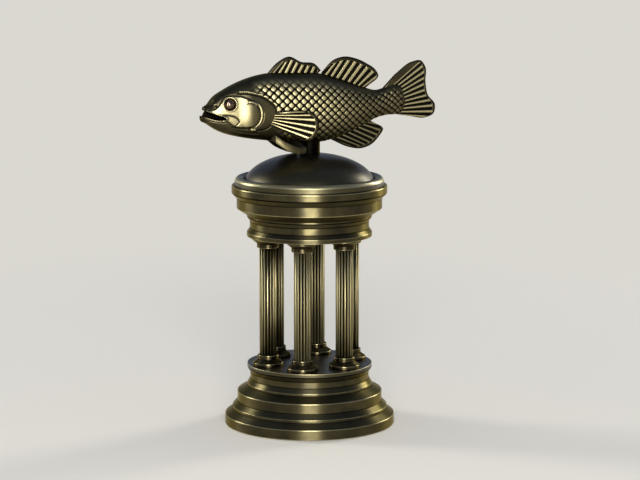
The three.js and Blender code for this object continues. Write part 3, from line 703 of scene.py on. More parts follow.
@dataclass
class Colonnade:
    """Six columns on a ring, each a turned base, a fluted shaft and a capital."""

    count: int = 6
    flutes: int = 16
    flute_depth: float = 0.95 * MM
    steps_per_flute: int = 14
    arris_share: float = 0.38
    base_disc_h: float = 2.5 * MM
    base_cone_h: float = 2.8 * MM
    capital_disc_h: float = 1.6 * MM
    capital_cone_h: float = 3 * MM
    collar_in: float = 3.9 * MM
    capital_collar_in: float = 3.6 * MM
    socket: float = 1.5 * MM
    sides: int = 72

    def build(self, turned: Material, fluted: Material) -> None:
        """Make the bases, shafts and capitals, repeated round the ring.

        Args:
            turned: Finish of the bases and capitals, a darker copy of the turned brass that paints their
                shade.
            fluted: Finish of the shafts.
        """
        low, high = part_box("column_base_1")
        ring_r = (low.x + high.x) / 2
        disc_r = (high.y - low.y) / 2
        floor_z, base_top = low.z, high.z
        cap_low, cap_top = level("column_capital_1", False), level("column_capital_1", True)
        shaft_low, shaft_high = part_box("column_shaft_1")
        shaft_r = (shaft_high.x - shaft_low.x) / 2
        copies = self._ring_tree()

        base = turned_mesh("column_bases", [
            Corner(0, floor_z),
            Corner(disc_r, floor_z, Edge.SEAM, SEAM),
            Corner(disc_r, floor_z + self.base_disc_h, Edge.WORN, CRISP),
            Corner(disc_r - self.collar_in, floor_z + self.base_disc_h + self.base_cone_h, Edge.SEAM, SEAM),
            Corner(disc_r - self.collar_in, base_top, Edge.WORN, CRISP),
            Corner(shaft_r, base_top, Edge.SEAM, SEAM),
            Corner(shaft_r, base_top - self.socket),
            Corner(0, base_top - self.socket),
        ], self.sides)
        capital = turned_mesh("column_capitals", [
            Corner(0, cap_low + self.socket),
            Corner(shaft_r, cap_low + self.socket),
            Corner(shaft_r, cap_low, Edge.SEAM, SEAM),
            Corner(disc_r - self.capital_collar_in, cap_low, Edge.WORN, CRISP),
            Corner(disc_r - self.capital_collar_in, cap_top - self.capital_disc_h - self.capital_cone_h,
                   Edge.SEAM, SEAM),
            Corner(disc_r, cap_top - self.capital_disc_h, Edge.WORN, CRISP),
            Corner(disc_r, cap_top, Edge.SEAM, SEAM),
            Corner(0, cap_top),
        ], self.sides)
        for name, mesh, node in (("column_bases_turned", base, "column_base"),
                                 ("column_capitals_turned", capital, "column_capital")):
            piece = grown(name, mesh, copies, {
                "Count": self.count, "Ring Radius": ring_r, "Material": turned})
            seat(piece, [f"{node}_{k + 1}" for k in range(self.count)])

        shaft = grown("fluted_shaft_one", bpy.data.meshes.new("shaft_start"), self._shaft_tree(), {
            "Radius": shaft_r, "Bottom": shaft_low.z, "Height": shaft_high.z - shaft_low.z,
            "Flutes": self.flutes, "Flute Depth": self.flute_depth, "Material": fluted})
        shafts = grown("column_shafts_fluted", shaft.data, copies, {
            "Count": self.count, "Ring Radius": ring_r, "Material": fluted})
        bpy.data.objects.remove(shaft)
        seat(shafts, [f"column_shaft_{k + 1}" for k in range(self.count)])

    def _ring_tree(self) -> NodeTree:
        """Build the tree that repeats a piece on a ring, each copy turned to its place.

        Returns:
            A tree with Count and Ring Radius.
        """
        tree, given = new_tree("ring_of_copies", {
            "Geometry": SocketKind.GEOMETRY, "Count": SocketKind.COUNT, "Ring Radius": SocketKind.NUMBER,
            "Material": SocketKind.MATERIAL})
        count = given.outputs["Count"]
        ring = add_node(tree, "GeometryNodeMeshCircle", {
            "Vertices": count, "Radius": given.outputs["Ring Radius"]})
        number = add_node(tree, "GeometryNodeInputIndex")
        share = add_node(tree, "ShaderNodeMath", {0: number, 1: count}, operation="DIVIDE")
        turn = add_node(tree, "ShaderNodeMath", {0: share, 1: 2 * math.pi}, operation="MULTIPLY")
        about = add_node(tree, "ShaderNodeCombineXYZ", {"Z": turn})
        rotation = add_node(tree, "FunctionNodeEulerToRotation", {0: about})
        copies = add_node(tree, "GeometryNodeInstanceOnPoints", {
            "Points": ring, "Instance": given.outputs["Geometry"], "Rotation": rotation})
        return close_tree(tree, copies, given)

    def _shaft_tree(self) -> NodeTree:
        """Build the tree of one fluted shaft: round hollows between narrow flat arrises.

        Returns:
            A tree with the sizes of the shaft and its flutes.
        """
        tree, given = new_tree("fluted_shaft", {
            "Geometry": SocketKind.GEOMETRY, "Radius": SocketKind.NUMBER, "Bottom": SocketKind.NUMBER,
            "Height": SocketKind.NUMBER, "Flutes": SocketKind.COUNT, "Flute Depth": SocketKind.NUMBER,
            "Material": SocketKind.MATERIAL})
        around = add_node(tree, "ShaderNodeMath", {
            0: given.outputs["Flutes"], 1: float(self.steps_per_flute)}, operation="MULTIPLY")
        rod = add_node(tree, "GeometryNodeMeshCylinder", {
            "Vertices": around, "Side Segments": 2, "Radius": given.outputs["Radius"],
            "Depth": given.outputs["Height"]})
        half = add_node(tree, "ShaderNodeMath", {0: given.outputs["Height"], 1: 2.0}, operation="DIVIDE")
        lift = add_node(tree, "ShaderNodeMath", {0: given.outputs["Bottom"], 1: half}, operation="ADD")
        raised = add_node(tree, "GeometryNodeTransform", {
            "Geometry": rod.outputs["Mesh"],
            "Translation": add_node(tree, "ShaderNodeCombineXYZ", {"Z": lift})})

        # Place within a flute, from -1 at one arris to 1 at the next
        place = add_node(tree, "GeometryNodeInputPosition")
        parts = add_node(tree, "ShaderNodeSeparateXYZ", {0: place})
        angle = add_node(tree, "ShaderNodeMath", {0: parts.outputs[1], 1: parts.outputs[0]},
                         operation="ARCTAN2")
        turns = add_node(tree, "ShaderNodeMath", {0: angle, 1: 2 * math.pi}, operation="DIVIDE")
        lane = add_node(tree, "ShaderNodeMath", {0: turns, 1: given.outputs["Flutes"]},
                        operation="MULTIPLY")
        within = add_node(tree, "ShaderNodeMath", {0: lane}, operation="FRACT")
        across = add_node(tree, "ShaderNodeMapRange", {"Value": within, "To Min": -1.0, "To Max": 1.0})
        wide = add_node(tree, "ShaderNodeMath", {0: across, 1: 1 - self.arris_share}, operation="DIVIDE")
        square = add_node(tree, "ShaderNodeMath", {0: wide, 1: wide}, operation="MULTIPLY")
        left = add_node(tree, "ShaderNodeMath", {0: 1.0, 1: square}, operation="SUBTRACT", use_clamp=True)
        hollow = add_node(tree, "ShaderNodeMath", {0: left, 1: 0.5}, operation="POWER")

        radius = add_node(tree, "ShaderNodeVectorMath", {
            0: add_node(tree, "ShaderNodeCombineXYZ", {0: parts.outputs[0], 1: parts.outputs[1]})},
            operation="LENGTH").outputs["Value"]
        cut = add_node(tree, "ShaderNodeMath", {0: hollow, 1: given.outputs["Flute Depth"]},
                       operation="MULTIPLY")
        keep = add_node(tree, "ShaderNodeMath", {0: radius, 1: cut}, operation="SUBTRACT")
        ratio = add_node(tree, "ShaderNodeMath", {0: keep, 1: radius}, operation="DIVIDE")
        scale = add_node(tree, "ShaderNodeCombineXYZ", {0: ratio, 1: ratio, 2: 1.0})
        moved = add_node(tree, "ShaderNodeVectorMath", {0: place, 1: scale}, operation="MULTIPLY")
        fluted = add_node(tree, "GeometryNodeSetPosition", {"Geometry": raised, "Position": moved})

        # Hollows stay dark, arrises are rubbed
        bare = add_node(tree, "ShaderNodeMath", {0: 1.0, 1: hollow}, operation="SUBTRACT")
        grimy = add_node(tree, "GeometryNodeStoreNamedAttribute", {
            "Geometry": fluted, "Name": "grime", "Value": hollow}, data_type="FLOAT", domain="POINT")
        worn = add_node(tree, "GeometryNodeStoreNamedAttribute", {
            "Geometry": grimy, "Name": "wear", "Value": bare}, data_type="FLOAT", domain="POINT")
        smooth = add_node(tree, "GeometryNodeSetShadeSmooth", {"Geometry": worn, "Shade Smooth": True})
        return close_tree(tree, smooth, given)


@dataclass
class Entablature:
    """Architrave, frieze, cornice, round-topped bead, dome and the post above it."""

    wall: float = 3 * MM
    neck_in: float = 2.4 * MM
    drum_in: float = 4 * MM
    architrave_h: float = 3.3 * MM
    slope_h: float = 3.3 * MM
    neck_h: float = 5.6 * MM
    flare_h: float = 3.5 * MM
    collar_h: float = 1.6 * MM
    frieze_slope_h: float = 5.1 * MM
    frieze_h: float = 8 * MM
    bead_half: float = 3.7 * MM
    bead_skirt_h: float = 3.2 * MM
    bead_seam_h: float = 0.45 * MM
    # Arc of the bead, in radians, marked bright as a painted highlight
    shoulder_highlight: Point2 = (0.15, 1.2)
    dome_skirt_h: float = 0.9 * MM
    dome_h: float = 24.4 * MM
    arc_steps: int = 24
    post_sides: int = 72

    def build(self, brass: Material, spun: Material) -> None:
        """Turn and dress the pieces above the columns.

        Args:
            brass: Finish of the turned pieces.
            spun: Finish of the dome and the bead.
        """
        collar_r, ceiling_z = outer_radius("architrave"), level("architrave", False)
        collar_z = ceiling_z + self.architrave_h + self.slope_h + self.neck_h + self.flare_h
        cornice_r, cornice_z = outer_radius("cornice_ring"), level("frieze_ring", True)
        top_z = level("cornice_ring", True)
        neck_r, drum_r = collar_r - self.neck_in, cornice_r - self.drum_in
        neck_bore, drum_bore = neck_r - self.wall, drum_r - self.wall
        neck_z = ceiling_z + self.architrave_h + self.slope_h
        frieze_z = collar_z + self.collar_h + self.frieze_slope_h

        turned_piece("architrave_turned", [
            Corner(0, ceiling_z),
            Corner(collar_r, ceiling_z, Edge.WORN, CRISP),
            Corner(collar_r, ceiling_z + self.architrave_h, Edge.WORN, CRISP),
            Corner(neck_r, neck_z, Edge.SEAM, SOFT),
            Corner(neck_r, neck_z + self.neck_h, Edge.SEAM, SOFT),
            Corner(collar_r, collar_z, Edge.SEAM, SEAM),
            Corner(neck_bore, collar_z),
            Corner(neck_bore, ceiling_z + self.wall),
            Corner(0, ceiling_z + self.wall),
        ], TIER_SIDES, brass, ["architrave"])
        turned_piece("frieze_ring_turned", [
            Corner(neck_bore, collar_z),
            Corner(collar_r, collar_z, Edge.SEAM, SEAM),
            Corner(collar_r, collar_z + self.collar_h, Edge.SEAM, SEAM),
            Corner(drum_r, frieze_z, Edge.WORN, SOFT),
            Corner(drum_r, frieze_z + self.frieze_h, Edge.SEAM, SEAM),
            Corner(cornice_r, cornice_z, Edge.SEAM, SEAM),
            Corner(drum_bore, cornice_z),
            Corner(drum_bore, frieze_z + self.wall),
        ], TIER_SIDES, brass, ["frieze_ring"])

        bead_out = outer_radius("bead_ring")
        bead_r = bead_out - self.bead_half
        turned_piece("cornice_ring_turned", [
            Corner(bead_r - self.bead_half - self.wall, cornice_z),
            Corner(cornice_r, cornice_z, Edge.SEAM, SEAM),
            Corner(cornice_r, top_z, Edge.WORN, SOFT),
            Corner(bead_r - self.bead_half - self.wall, top_z),
        ], TIER_SIDES, brass, ["cornice_ring"])

        bead_z = top_z + self.bead_skirt_h
        seam_z = top_z + self.bead_seam_h
        arc = np.linspace(0, np.pi, self.arc_steps + 1)
        # The bead's upper outer arc is marked worn: a painted highlight crescent
        turned_piece("bead_ring_turned", [
            Corner(bead_r - self.bead_half, top_z, Edge.SEAM),
            Corner(bead_out, top_z, Edge.SEAM),
            Corner(bead_out, seam_z),
            *(Corner(bead_r + self.bead_half * math.cos(a), bead_z + self.bead_half * math.sin(a),
                     Edge.WORN if self.shoulder_highlight[0] < a < self.shoulder_highlight[1] else Edge.HIDDEN) for a in arc),
            Corner(bead_r - self.bead_half, seam_z, Edge.SEAM),
        ], TIER_SIDES, spun, ["bead_ring"])

        spring_z = top_z + self.dome_skirt_h
        dome_r = outer_radius("dome")
        post_low, post_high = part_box("fish_post")
        post_r = (post_high.y - post_low.y) / 2
        rise = np.linspace(0, np.pi / 2, 2 * self.arc_steps)
        crown = [(dome_r * math.cos(a), spring_z + self.dome_h * math.sin(a)) for a in rise]
        turned_piece("dome_turned", [
            Corner(0, top_z),
            Corner(dome_r, top_z, Edge.SEAM),
            *(Corner(r, z, Edge.SEAM if z == spring_z else Edge.HIDDEN) for r, z in crown if r > post_r),
            Corner(post_r, post_low.z, Edge.SEAM),
            Corner(0, post_low.z),
        ], TIER_SIDES, spun, ["dome"])
        # The post is marked dark from end to end: painted shade under the fish
        turned_piece("fish_post_turned", [
            Corner(0, post_low.z),
            Corner(post_r, post_low.z, Edge.SEAM),
            Corner(post_r, post_high.z, Edge.SEAM),
            Corner(0, post_high.z),
        ], self.post_sides, brass, ["fish_post"])


# Stations of the bass, as shares: place along the length, back and belly of the depth, breadth of the width
STATIONS = np.array([
    (0.0, -0.01, -0.1, 0.18),
    (0.011, 0.058, -0.146, 0.37),
    (0.026, 0.098, -0.185, 0.49),
    (0.06, 0.212, -0.266, 0.67),
    (0.095, 0.287, -0.323, 0.77),
    (0.135, 0.36, -0.364, 0.85),
    (0.195, 0.443, -0.408, 0.93),
    (0.26, 0.498, -0.443, 0.99),
    (0.369, 0.503, -0.486, 1.0),
    (0.503, 0.474, -0.5, 0.93),
    (0.594, 0.378, -0.418, 0.8),
    (0.688, 0.256, -0.274, 0.59),
    (0.738, 0.214, -0.191, 0.46),
    (0.783, 0.252, -0.155, 0.37),
    (0.823, 0.286, -0.148, 0.29),
    (0.851, 0.216, -0.126, 0.19),
    (0.862, 0.09, -0.036, 0.09),
])


@dataclass(frozen=True)
class Fin:
    """Rayed fin: root line on the body and free edge, as shares of the fish's length and depth.

    The grooves between its rays run from a foot line to a tip line. A paired fin stands off the body: each
    point of its edge by a share of the spread.
    """

    name: str
    node: str
    root: tuple[Point2, ...]
    edge: tuple[Point2, ...]
    foot: tuple[Point2, ...] = ()
    tip: tuple[Point2, ...] = ()
    grooves: int = 0
    stand: tuple[float, ...] = ()
    spread: float = 0.0
    thickness: float = 2.8 * MM
    tip_share: float = 0.6
    bevel: float = 2.4 * MM
    # Painted shade on the rounded rim, standing in for its dark reflection
    rim_grime: float = 0.85
    # Bright mark on the rays, set per fin so that it also paints how brightly each fin is lit
    rub: float = 1.0
    edge_round: float = 0.4 * MM
    upright: bool = False


MEDIAN_FINS = (
    Fin("dorsal_fin_spiny", "dorsal_fin_front", root=((0.274, 0.44), (0.474, 0.43)),
        edge=((0.28, 0.515), (0.318, 0.65), (0.368, 0.731), (0.42, 0.65), (0.475, 0.62), (0.503, 0.52)),
        foot=((0.3123, 0.5), (0.4766, 0.5)),
        tip=((0.3466, 0.652), (0.376, 0.685), (0.4134, 0.625), (0.4863, 0.572)), grooves=7),
    Fin("dorsal_fin_soft", "dorsal_fin_rear", root=((0.496, 0.42), (0.68, 0.22)),
        edge=((0.507, 0.5), (0.56, 0.672), (0.602, 0.708), (0.645, 0.683), (0.697, 0.602), (0.737, 0.5),
              (0.748, 0.43), (0.7, 0.265)),
        foot=((0.5113, 0.472), (0.5615, 0.427), (0.6334, 0.321), (0.68, 0.3)),
        tip=((0.5502, 0.61), (0.5924, 0.655), (0.6235, 0.65), (0.68, 0.583), (0.737, 0.452)), grooves=8),
    Fin("tail_fin_fan", "tail_fin", root=((0.753, 0.19), (0.803, 0.054), (0.773, -0.117)),
        edge=((0.82, 0.43), (0.895, 0.605), (0.933, 0.616), (0.953, 0.523), (0.954, 0.306), (0.965, 0.112),
              (0.996, -0.03), (0.99, -0.16), (0.955, -0.214), (0.88, -0.185)),
        foot=((0.8256, 0.2839), (0.8484, 0.1992), (0.8581, 0.0592), (0.8623, -0.1436)),
        tip=((0.936, 0.575), (0.9475, 0.43), (0.9475, 0.32), (0.954, 0.186), (0.975, 0.05), (0.985, -0.06),
             (0.985, -0.172)), grooves=10),
    Fin("anal_fin_fan", "anal_fin", root=((0.56, -0.38), (0.7, -0.19)),
        edge=((0.546, -0.479), (0.624, -0.6), (0.674, -0.625), (0.717, -0.578), (0.752, -0.463),
              (0.77, -0.36), (0.72, -0.24)),
        foot=((0.555, -0.455), (0.704, -0.275)),
        tip=((0.658, -0.6), (0.706, -0.55), (0.745, -0.44), (0.762, -0.335)), grooves=7, rub=0.4),
)
PAIRED_FINS = (
    Fin("pectoral_fan", "pectoral_fin", root=((0.285, -0.03), (0.268, -0.21)),
        edge=((0.372, -0.006), (0.415, -0.035), (0.446, -0.085), (0.457, -0.17), (0.456, -0.26),
              (0.446, -0.355), (0.43, -0.425), (0.398, -0.44)),
        foot=((0.288, -0.052), (0.282, -0.13), (0.272, -0.212)),
        tip=((0.412, -0.05), (0.44, -0.14), (0.443, -0.24), (0.43, -0.35), (0.402, -0.422)), grooves=6,
        stand=(0.93, 0.97, 1, 1, 1, 1, 0.97, 0.92), spread=19.5 * MM, rub=1.25),
    Fin("pelvic_blade", "pelvic_fin", root=((0.289, -0.4), (0.372, -0.45)),
        edge=((0.294, -0.42), (0.329, -0.515), (0.364, -0.575), (0.387, -0.606), (0.391, -0.61),
              (0.395, -0.609), (0.42, -0.6), (0.423, -0.598)),
        stand=(0.78, 0.92, 1, 1, 1, 0.97, 0.83, 0.8), spread=13 * MM, thickness=6.2 * MM, tip_share=1.0,
        bevel=0.5 * MM, rim_grime=0.0, upright=True),
)


@dataclass(frozen=True)
class Line:
    """Raised or cut line on the side of the head: points in millimetres from the post and mid-height."""

    points: tuple[Point2, ...]
    height: float
    width: float
    grime: float = 0.0
    wear: float = 0.0


@dataclass(frozen=True)
class Plate:
    """Raised plate on the side of the head, bounded by a smooth outline in millimetres."""

    outline: tuple[Point2, ...]
    height: float
    edge: float
    fade: Point2 | None = None
    # Range along the fish where the plate is marked bright: a painted highlight
    rubbed_and_lit: Point2 | None = None


GILL_EDGE = ((-62, 14), (-57, 13.9), (-51.6, 12.9), (-42.8, 10.3), (-36.9, 6.1), (-33.3, 2.1), (-32.7, -1.9),
             (-33.9, -6.3), (-35.9, -10.8), (-40, -14.2), (-47, -15.6))
CHEEK_ARC = ((-55.6, 7.1), (-51.7, 6.7), (-46.9, 4.3), (-44.9, -1.4), (-44.9, -5.3), (-47, -10),
             (-49.5, -12.3))
BROW = ((-81.3, 1.8), (-78.3, 4.6), (-76.2, 8), (-73.4, 11), (-68.3, 12), (-62.4, 11.6))
JAW_BAR = ((-75.2, -2.7), (-69.2, -3.1), (-64.4, -5.2), (-62.8, -8.2), (-65.2, -10.8), (-70.9, -7.6),
           (-74.6, -4.5))
HEAD_PLATES = (
    Plate(((-66, 8), *GILL_EDGE, (-55, -14), (-62, -9), (-66, 0)), 1.2, 0.45, (-64, -52)),
    Plate(((-90.5, 1.2), (-86, 1), *BROW, (-56, 9.4), (-49, 5.2), (-46.2, -1.4), (-46.4, -6), (-49, -10.6),
           (-56, -12.4), (-66, -11.6), (-73, -7), (-82, -1.4)), 0.9, 0.7, rubbed_and_lit=(-48, -62)),
    Plate(JAW_BAR, 1.0, 0.3, rubbed_and_lit=(-60, -62)),
)
HEAD_LINES = (
    Line(GILL_EDGE, -0.8, 0.65, grime=1.0),
    Line(tuple((x + 1.2, z + 0.9) for x, z in GILL_EDGE[:5]), 0.5, 0.75, wear=0.8),
    Line(CHEEK_ARC, 0.8, 0.75, wear=1.0),
    Line(tuple((x - 1.2, z) for x, z in CHEEK_ARC[2:]), -0.4, 0.6, grime=0.9),
    Line(tuple((x + 1.2, z - 0.3) for x, z in CHEEK_ARC[3:]), -0.4, 0.6, grime=0.8),
    Line(((-56.4, 5.6), (-53, 5.5), (-50.2, 4.8)), -0.4, 0.35, grime=0.8),
    Line(((-56, 8.4), (-53, 8.3)), -0.35, 0.35, grime=0.7),
    Line(BROW[1:], -0.35, 0.55, grime=0.7),
    Line((*JAW_BAR[:5],), -0.6, 0.55, grime=1.0),
    Line(((-85, -7.2), (-79.8, -8), (-73.4, -8.4)), -0.5, 0.4, grime=0.9),
    Line(((-68, -12.5), (-61.1, -13.8), (-54, -13.8)), -0.6, 0.45, grime=0.9),
    Line(((-63, -15.6), (-54, -17.6), (-46, -18.4)), -0.4, 0.45, grime=0.8),
    Line(((-52.6, -14.6), (-49.6, -14.5)), 0.7, 0.7, wear=1.0),
    Line(((-48.3, -15), (-46.9, -15)), -0.5, 0.5, grime=1.0),
    Line(((-81, 4.3), (-80.6, 4.5)), -0.7, 0.6, grime=1.0),
    Line(((-81.6, 5.6), (-81.2, 5.7)), 0.4, 0.5, wear=0.8),
)
UPPER_LIP = ((-91, 1.0), (-88.8, 0.2), (-84, -1), (-78.9, -2.3), (-74.5, -3.8), (-72.4, -5.4))
LOWER_LIP = ((-91, -3.2), (-88.2, -4.3), (-84.4, -5.7), (-80.6, -6.7), (-76, -7), (-73.8, -6.6),
             (-72.4, -5.4))


def distance_to(line: np.ndarray, x: np.ndarray, z: np.ndarray) -> np.ndarray:
    """Measure how far points of the fish's side lie from a line.

    Args:
        line: Points of the line.
        x: Places along the fish.
        z: Heights.

    Returns:
        Distances.
    """
    nearest = np.full(x.shape, np.inf)
    for (x0, z0), (x1, z1) in zip(line[:-1], line[1:]):
        run_x, run_z = x1 - x0, z1 - z0
        share = ((x - x0) * run_x + (z - z0) * run_z) / (run_x ** 2 + run_z ** 2)
        share = np.clip(share, 0, 1)
        nearest = np.minimum(nearest, np.hypot(x - x0 - share * run_x, z - z0 - share * run_z))
    return nearest


def inside(outline: np.ndarray, x: np.ndarray, z: np.ndarray) -> np.ndarray:
    """Tell which points of the fish's side lie inside an outline.

    Args:
        outline: Closed outline.
        x: Places along the fish.
        z: Heights.

    Returns:
        True for each point inside.
    """
    within = np.zeros(x.shape, bool)
    for (x0, z0), (x1, z1) in zip(outline, np.roll(outline, -1, axis=0)):
        crosses = (z0 > z) != (z1 > z)
        with np.errstate(divide="ignore", invalid="ignore"):
            at = x0 + (z - z0) * (x1 - x0) / (z1 - z0)
        within ^= crosses & (x < at)
    return within


def smooth_line(points: tuple[Point2, ...], closed: bool = False) -> np.ndarray:
    """Smooth curve through a few points, as a fine line in metres.

    Args:
        points: Points in millimetres.
        closed: Whether the curve returns to its start.

    Returns:
        Points of the line.
    """
    rows = np.array(points + (points[:1] if closed else ()), float) * MM
    return along_curve(rows, np.linspace(0, 1, LINE_STEPS * len(rows)))


@dataclass
class Bass:
    """Cast bass: scaled body with an open mouth and gill covers, eyes, and rayed fins."""

    length: float = 200.3 * MM
    depth: float = 55.5 * MM
    width: float = 27 * MM
    post_gap: float = 9.1 * MM
    # Fins: the grooves between the rays, the painted shade of the rims and the steps of the mesh
    groove_depth: float = 0.75 * MM
    groove_sides: Point2 = (0.18, 0.32)
    groove_end: Point2 = (-0.5 * MM, 0.3 * MM)
    groove_margin: Point2 = (0.5, 0.6)
    groove_border: Point2 = (0.45, 0.9)
    rim_shade_border: Point2 = (0.35, 0.95)
    ray_crest: Point2 = (0.26, 0.38)
    fin_step: float = 0.36 * MM
    fin_crowding: float = 0.6
    fin_sink: float = 2.5 * MM
    edge_share: float = 0.45
    # Grid of the body
    side_rows: int = 130
    head_step: float = 0.34 * MM
    body_step: float = 0.55 * MM
    # Scales: their run along the fish, size and relief
    scales_from: float = 0.19
    scales_shrink: float = 0.4
    scale_long: Point2 = (7.1 * MM, 5.4 * MM)
    scale_tall: Point2 = (6.5 * MM, 4.9 * MM)
    scale_mid: float = 0.46
    scale_depth: float = 0.4 * MM
    scale_tilt: float = 0.45 * MM
    scale_pinch: float = 0.16
    scale_square: float = 4.0
    scale_valley: float = 0.68
    scale_dish: float = 0.3
    scale_line: Point2 = (0.12, 0.3)
    scale_crown: Point2 = (0.18, 0.34)
    # Where the scales give way to bare skin
    bare_back: Point2 = (0.1, 0.28)
    bare_belly: Point2 = (1.0, 0.97)
    bare_gill: Point2 = (0.6 * MM, 1.6 * MM)
    bare_throat: Point2 = (-48 * MM, -40 * MM)
    throat_lean: float = 0.9
    nape_lean: float = 0.25
    bare_tail: Point2 = (0.012, 0.004)
    # How far the flank is worn and painted bright, fading into painted shade, and the painted highlight of
    # the head's plates
    rub_lost: Point2 = (0.55, 0.8)
    rub_down: Point2 = (0.5, 0.78)
    rub_back: Point2 = (0.4, 0.74)
    cheek_rub: float = 0.7
    # Nose, mouth and lips
    mouth_row: int = 76
    mouth_end: float = 0.0924
    row_blend: float = 0.19
    nose_round: float = 0.012
    nose_start: float = 0.25
    nose_steps: int = 9
    nose_blunt: float = 2.5
    # Painted shade on the nose tip
    nose_grime: float = 0.6
    jaw_lead: float = 2.0 * MM
    jaw_reach: float = 4.0
    mouth_steps: int = 18
    tongue_side: Point2 = (0.22, 0.36)
    tongue_tip: float = 2.6 * MM
    tongue_gap: float = 0.15 * MM
    vault: float = 1.2 * MM
    lip_width: float = 0.8 * MM
    lip_height: float = 0.45 * MM
    lip_fade: Point2 = (1.5 * MM, 6 * MM)
    # Eyes: the ball in degrees from its pupil, socket and lid as shares of its radius
    eye_reach: float = 125.0
    eye_steps: int = 40
    eye_sides: int = 48
    eye_shade: float = 58.0
    iris_at: float = 34.0
    iris_width: float = 3.0
    iris_depth: float = 0.25 * MM
    socket_at: float = 0.95
    socket_width: float = 0.09
    socket_depth: float = 0.6 * MM
    socket_floor: float = 0.8
    socket_dark: float = 0.9
    eye_sink: float = 1.5 * MM
    lid_at: float = 1.2
    lid_width: float = 0.12
    lid_height: float = 0.4 * MM
    # Sections of the body and where the head's forms end
    section_steps: int = 721
    head_ends: Point2 = (0.1, 0.3)
    relief_ends: Point2 = (0.3, 0.33)
    body_fullness: float = 0.85
    head_fullness: float = 0.6
    roof_fullness: float = 0.85
    # Place of the fish in the frame
    nose_x: float = field(init=False)
    axis_z: float = field(init=False)

    def __post_init__(self) -> None:
        """Take the fish's place from its solids."""
        self.nose_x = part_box("fish_body")[0].x
        self.axis_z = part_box("fish_post")[0].z + self.post_gap + self.depth / 2

    def at(self, place: Point2, side: float = 0.0) -> np.ndarray:
        """Point of the fish at shares of its length and depth, and an offset in Y."""
        return np.array([self.nose_x + place[0] * self.length, side, self.axis_z + place[1] * self.depth])

    def build(self, brass: Material, eye: Material) -> None:
        """Make the body, the eyes and the fins.

        Args:
            brass: Finish of the casting.
            eye: Finish of the eyes.
        """
        body = grown("bass_body", self._body_mesh(), self._scale_tree(), {
            "Relief": self.scale_depth, "Tilt": self.scale_tilt, "Material": brass})
        seat(body, ["fish_body"])
        rays = self._ray_tree()
        for fin in MEDIAN_FINS:
            root = np.array([self.at(place) for place in fin.root])
            edge = np.array([self.at(place) for place in fin.edge])
            mesh = self._fin_mesh(fin, root, edge, np.array([0.0, 1.0, 0.0]))
            piece = grown(fin.name, mesh, rays, {
                "Depth": self.groove_depth, "Rub": fin.rub, "Material": brass})
            seat(piece, [fin.node])
        for fin in PAIRED_FINS:
            for hand in Hand:
                self._paired_fin(fin, hand, rays, brass)
        for hand in Hand:
            self._eye(hand, eye)

    def _section(self, along: float) -> tuple[np.ndarray, np.ndarray, np.ndarray]:
        """Half section of the body at one place, from the back down the side to the belly.

        Args:
            along: Share of the length.

        Returns:
            Half widths, heights above the axis and running shares of the half girth.
        """
        back, belly, breadth = through(STATIONS[:, 0], STATIONS[:, 1:], np.array([along]))[0]
        ease = float(smoothstep(*self.head_ends, np.array(along)))
        fullness = self.head_fullness + (self.body_fullness - self.head_fullness) * ease
        roof = self.roof_fullness + (1 - self.roof_fullness) * ease
        t = np.linspace(np.pi / 2, -np.pi / 2, self.section_steps)
        rise = np.sign(np.sin(t)) * np.abs(np.sin(t)) ** roof
        half_width = breadth * self.width / 2 * np.abs(np.cos(t)) ** fullness
        height = ((back + belly) / 2 + (back - belly) / 2 * rise) * self.depth
        run = np.concatenate([[0], np.cumsum(np.hypot(np.diff(half_width), np.diff(height)))])
        return half_width, height, run / run[-1]

    def flank(self, place: Point2) -> float:
        """Half width of the body at a place on its side."""
        half_width, height, _ = self._section(place[0])
        return float(np.interp(-place[1] * self.depth, -height, half_width))

    def _lips(self, x: float) -> Point2:
        """Heights of the upper and lower lip above the axis at a place along the fish."""
        upper, lower = (np.array(line) * MM for line in (UPPER_LIP, LOWER_LIP))
        return float(np.interp(x, upper[:, 0], upper[:, 1])), float(np.interp(x, lower[:, 0], lower[:, 1]))

    def _columns(self) -> np.ndarray:
        """Share out the columns of the body's grid: close on the nose and head, wider on the flank.

        Returns:
            Shares of the length.
        """
        nose = self.nose_round * (1 - np.cos(np.linspace(self.nose_start, np.pi / 2, self.nose_steps)))
        head_count = int((self.scales_from - self.nose_round) * self.length / self.head_step)
        body_count = int((STATIONS[-1, 0] - self.scales_from) * self.length / self.body_step)
        head = np.linspace(self.nose_round, self.scales_from, head_count)
        flank = np.linspace(self.scales_from, STATIONS[-1, 0], body_count)
        return np.concatenate([nose[:-1], head[:-1], flank])

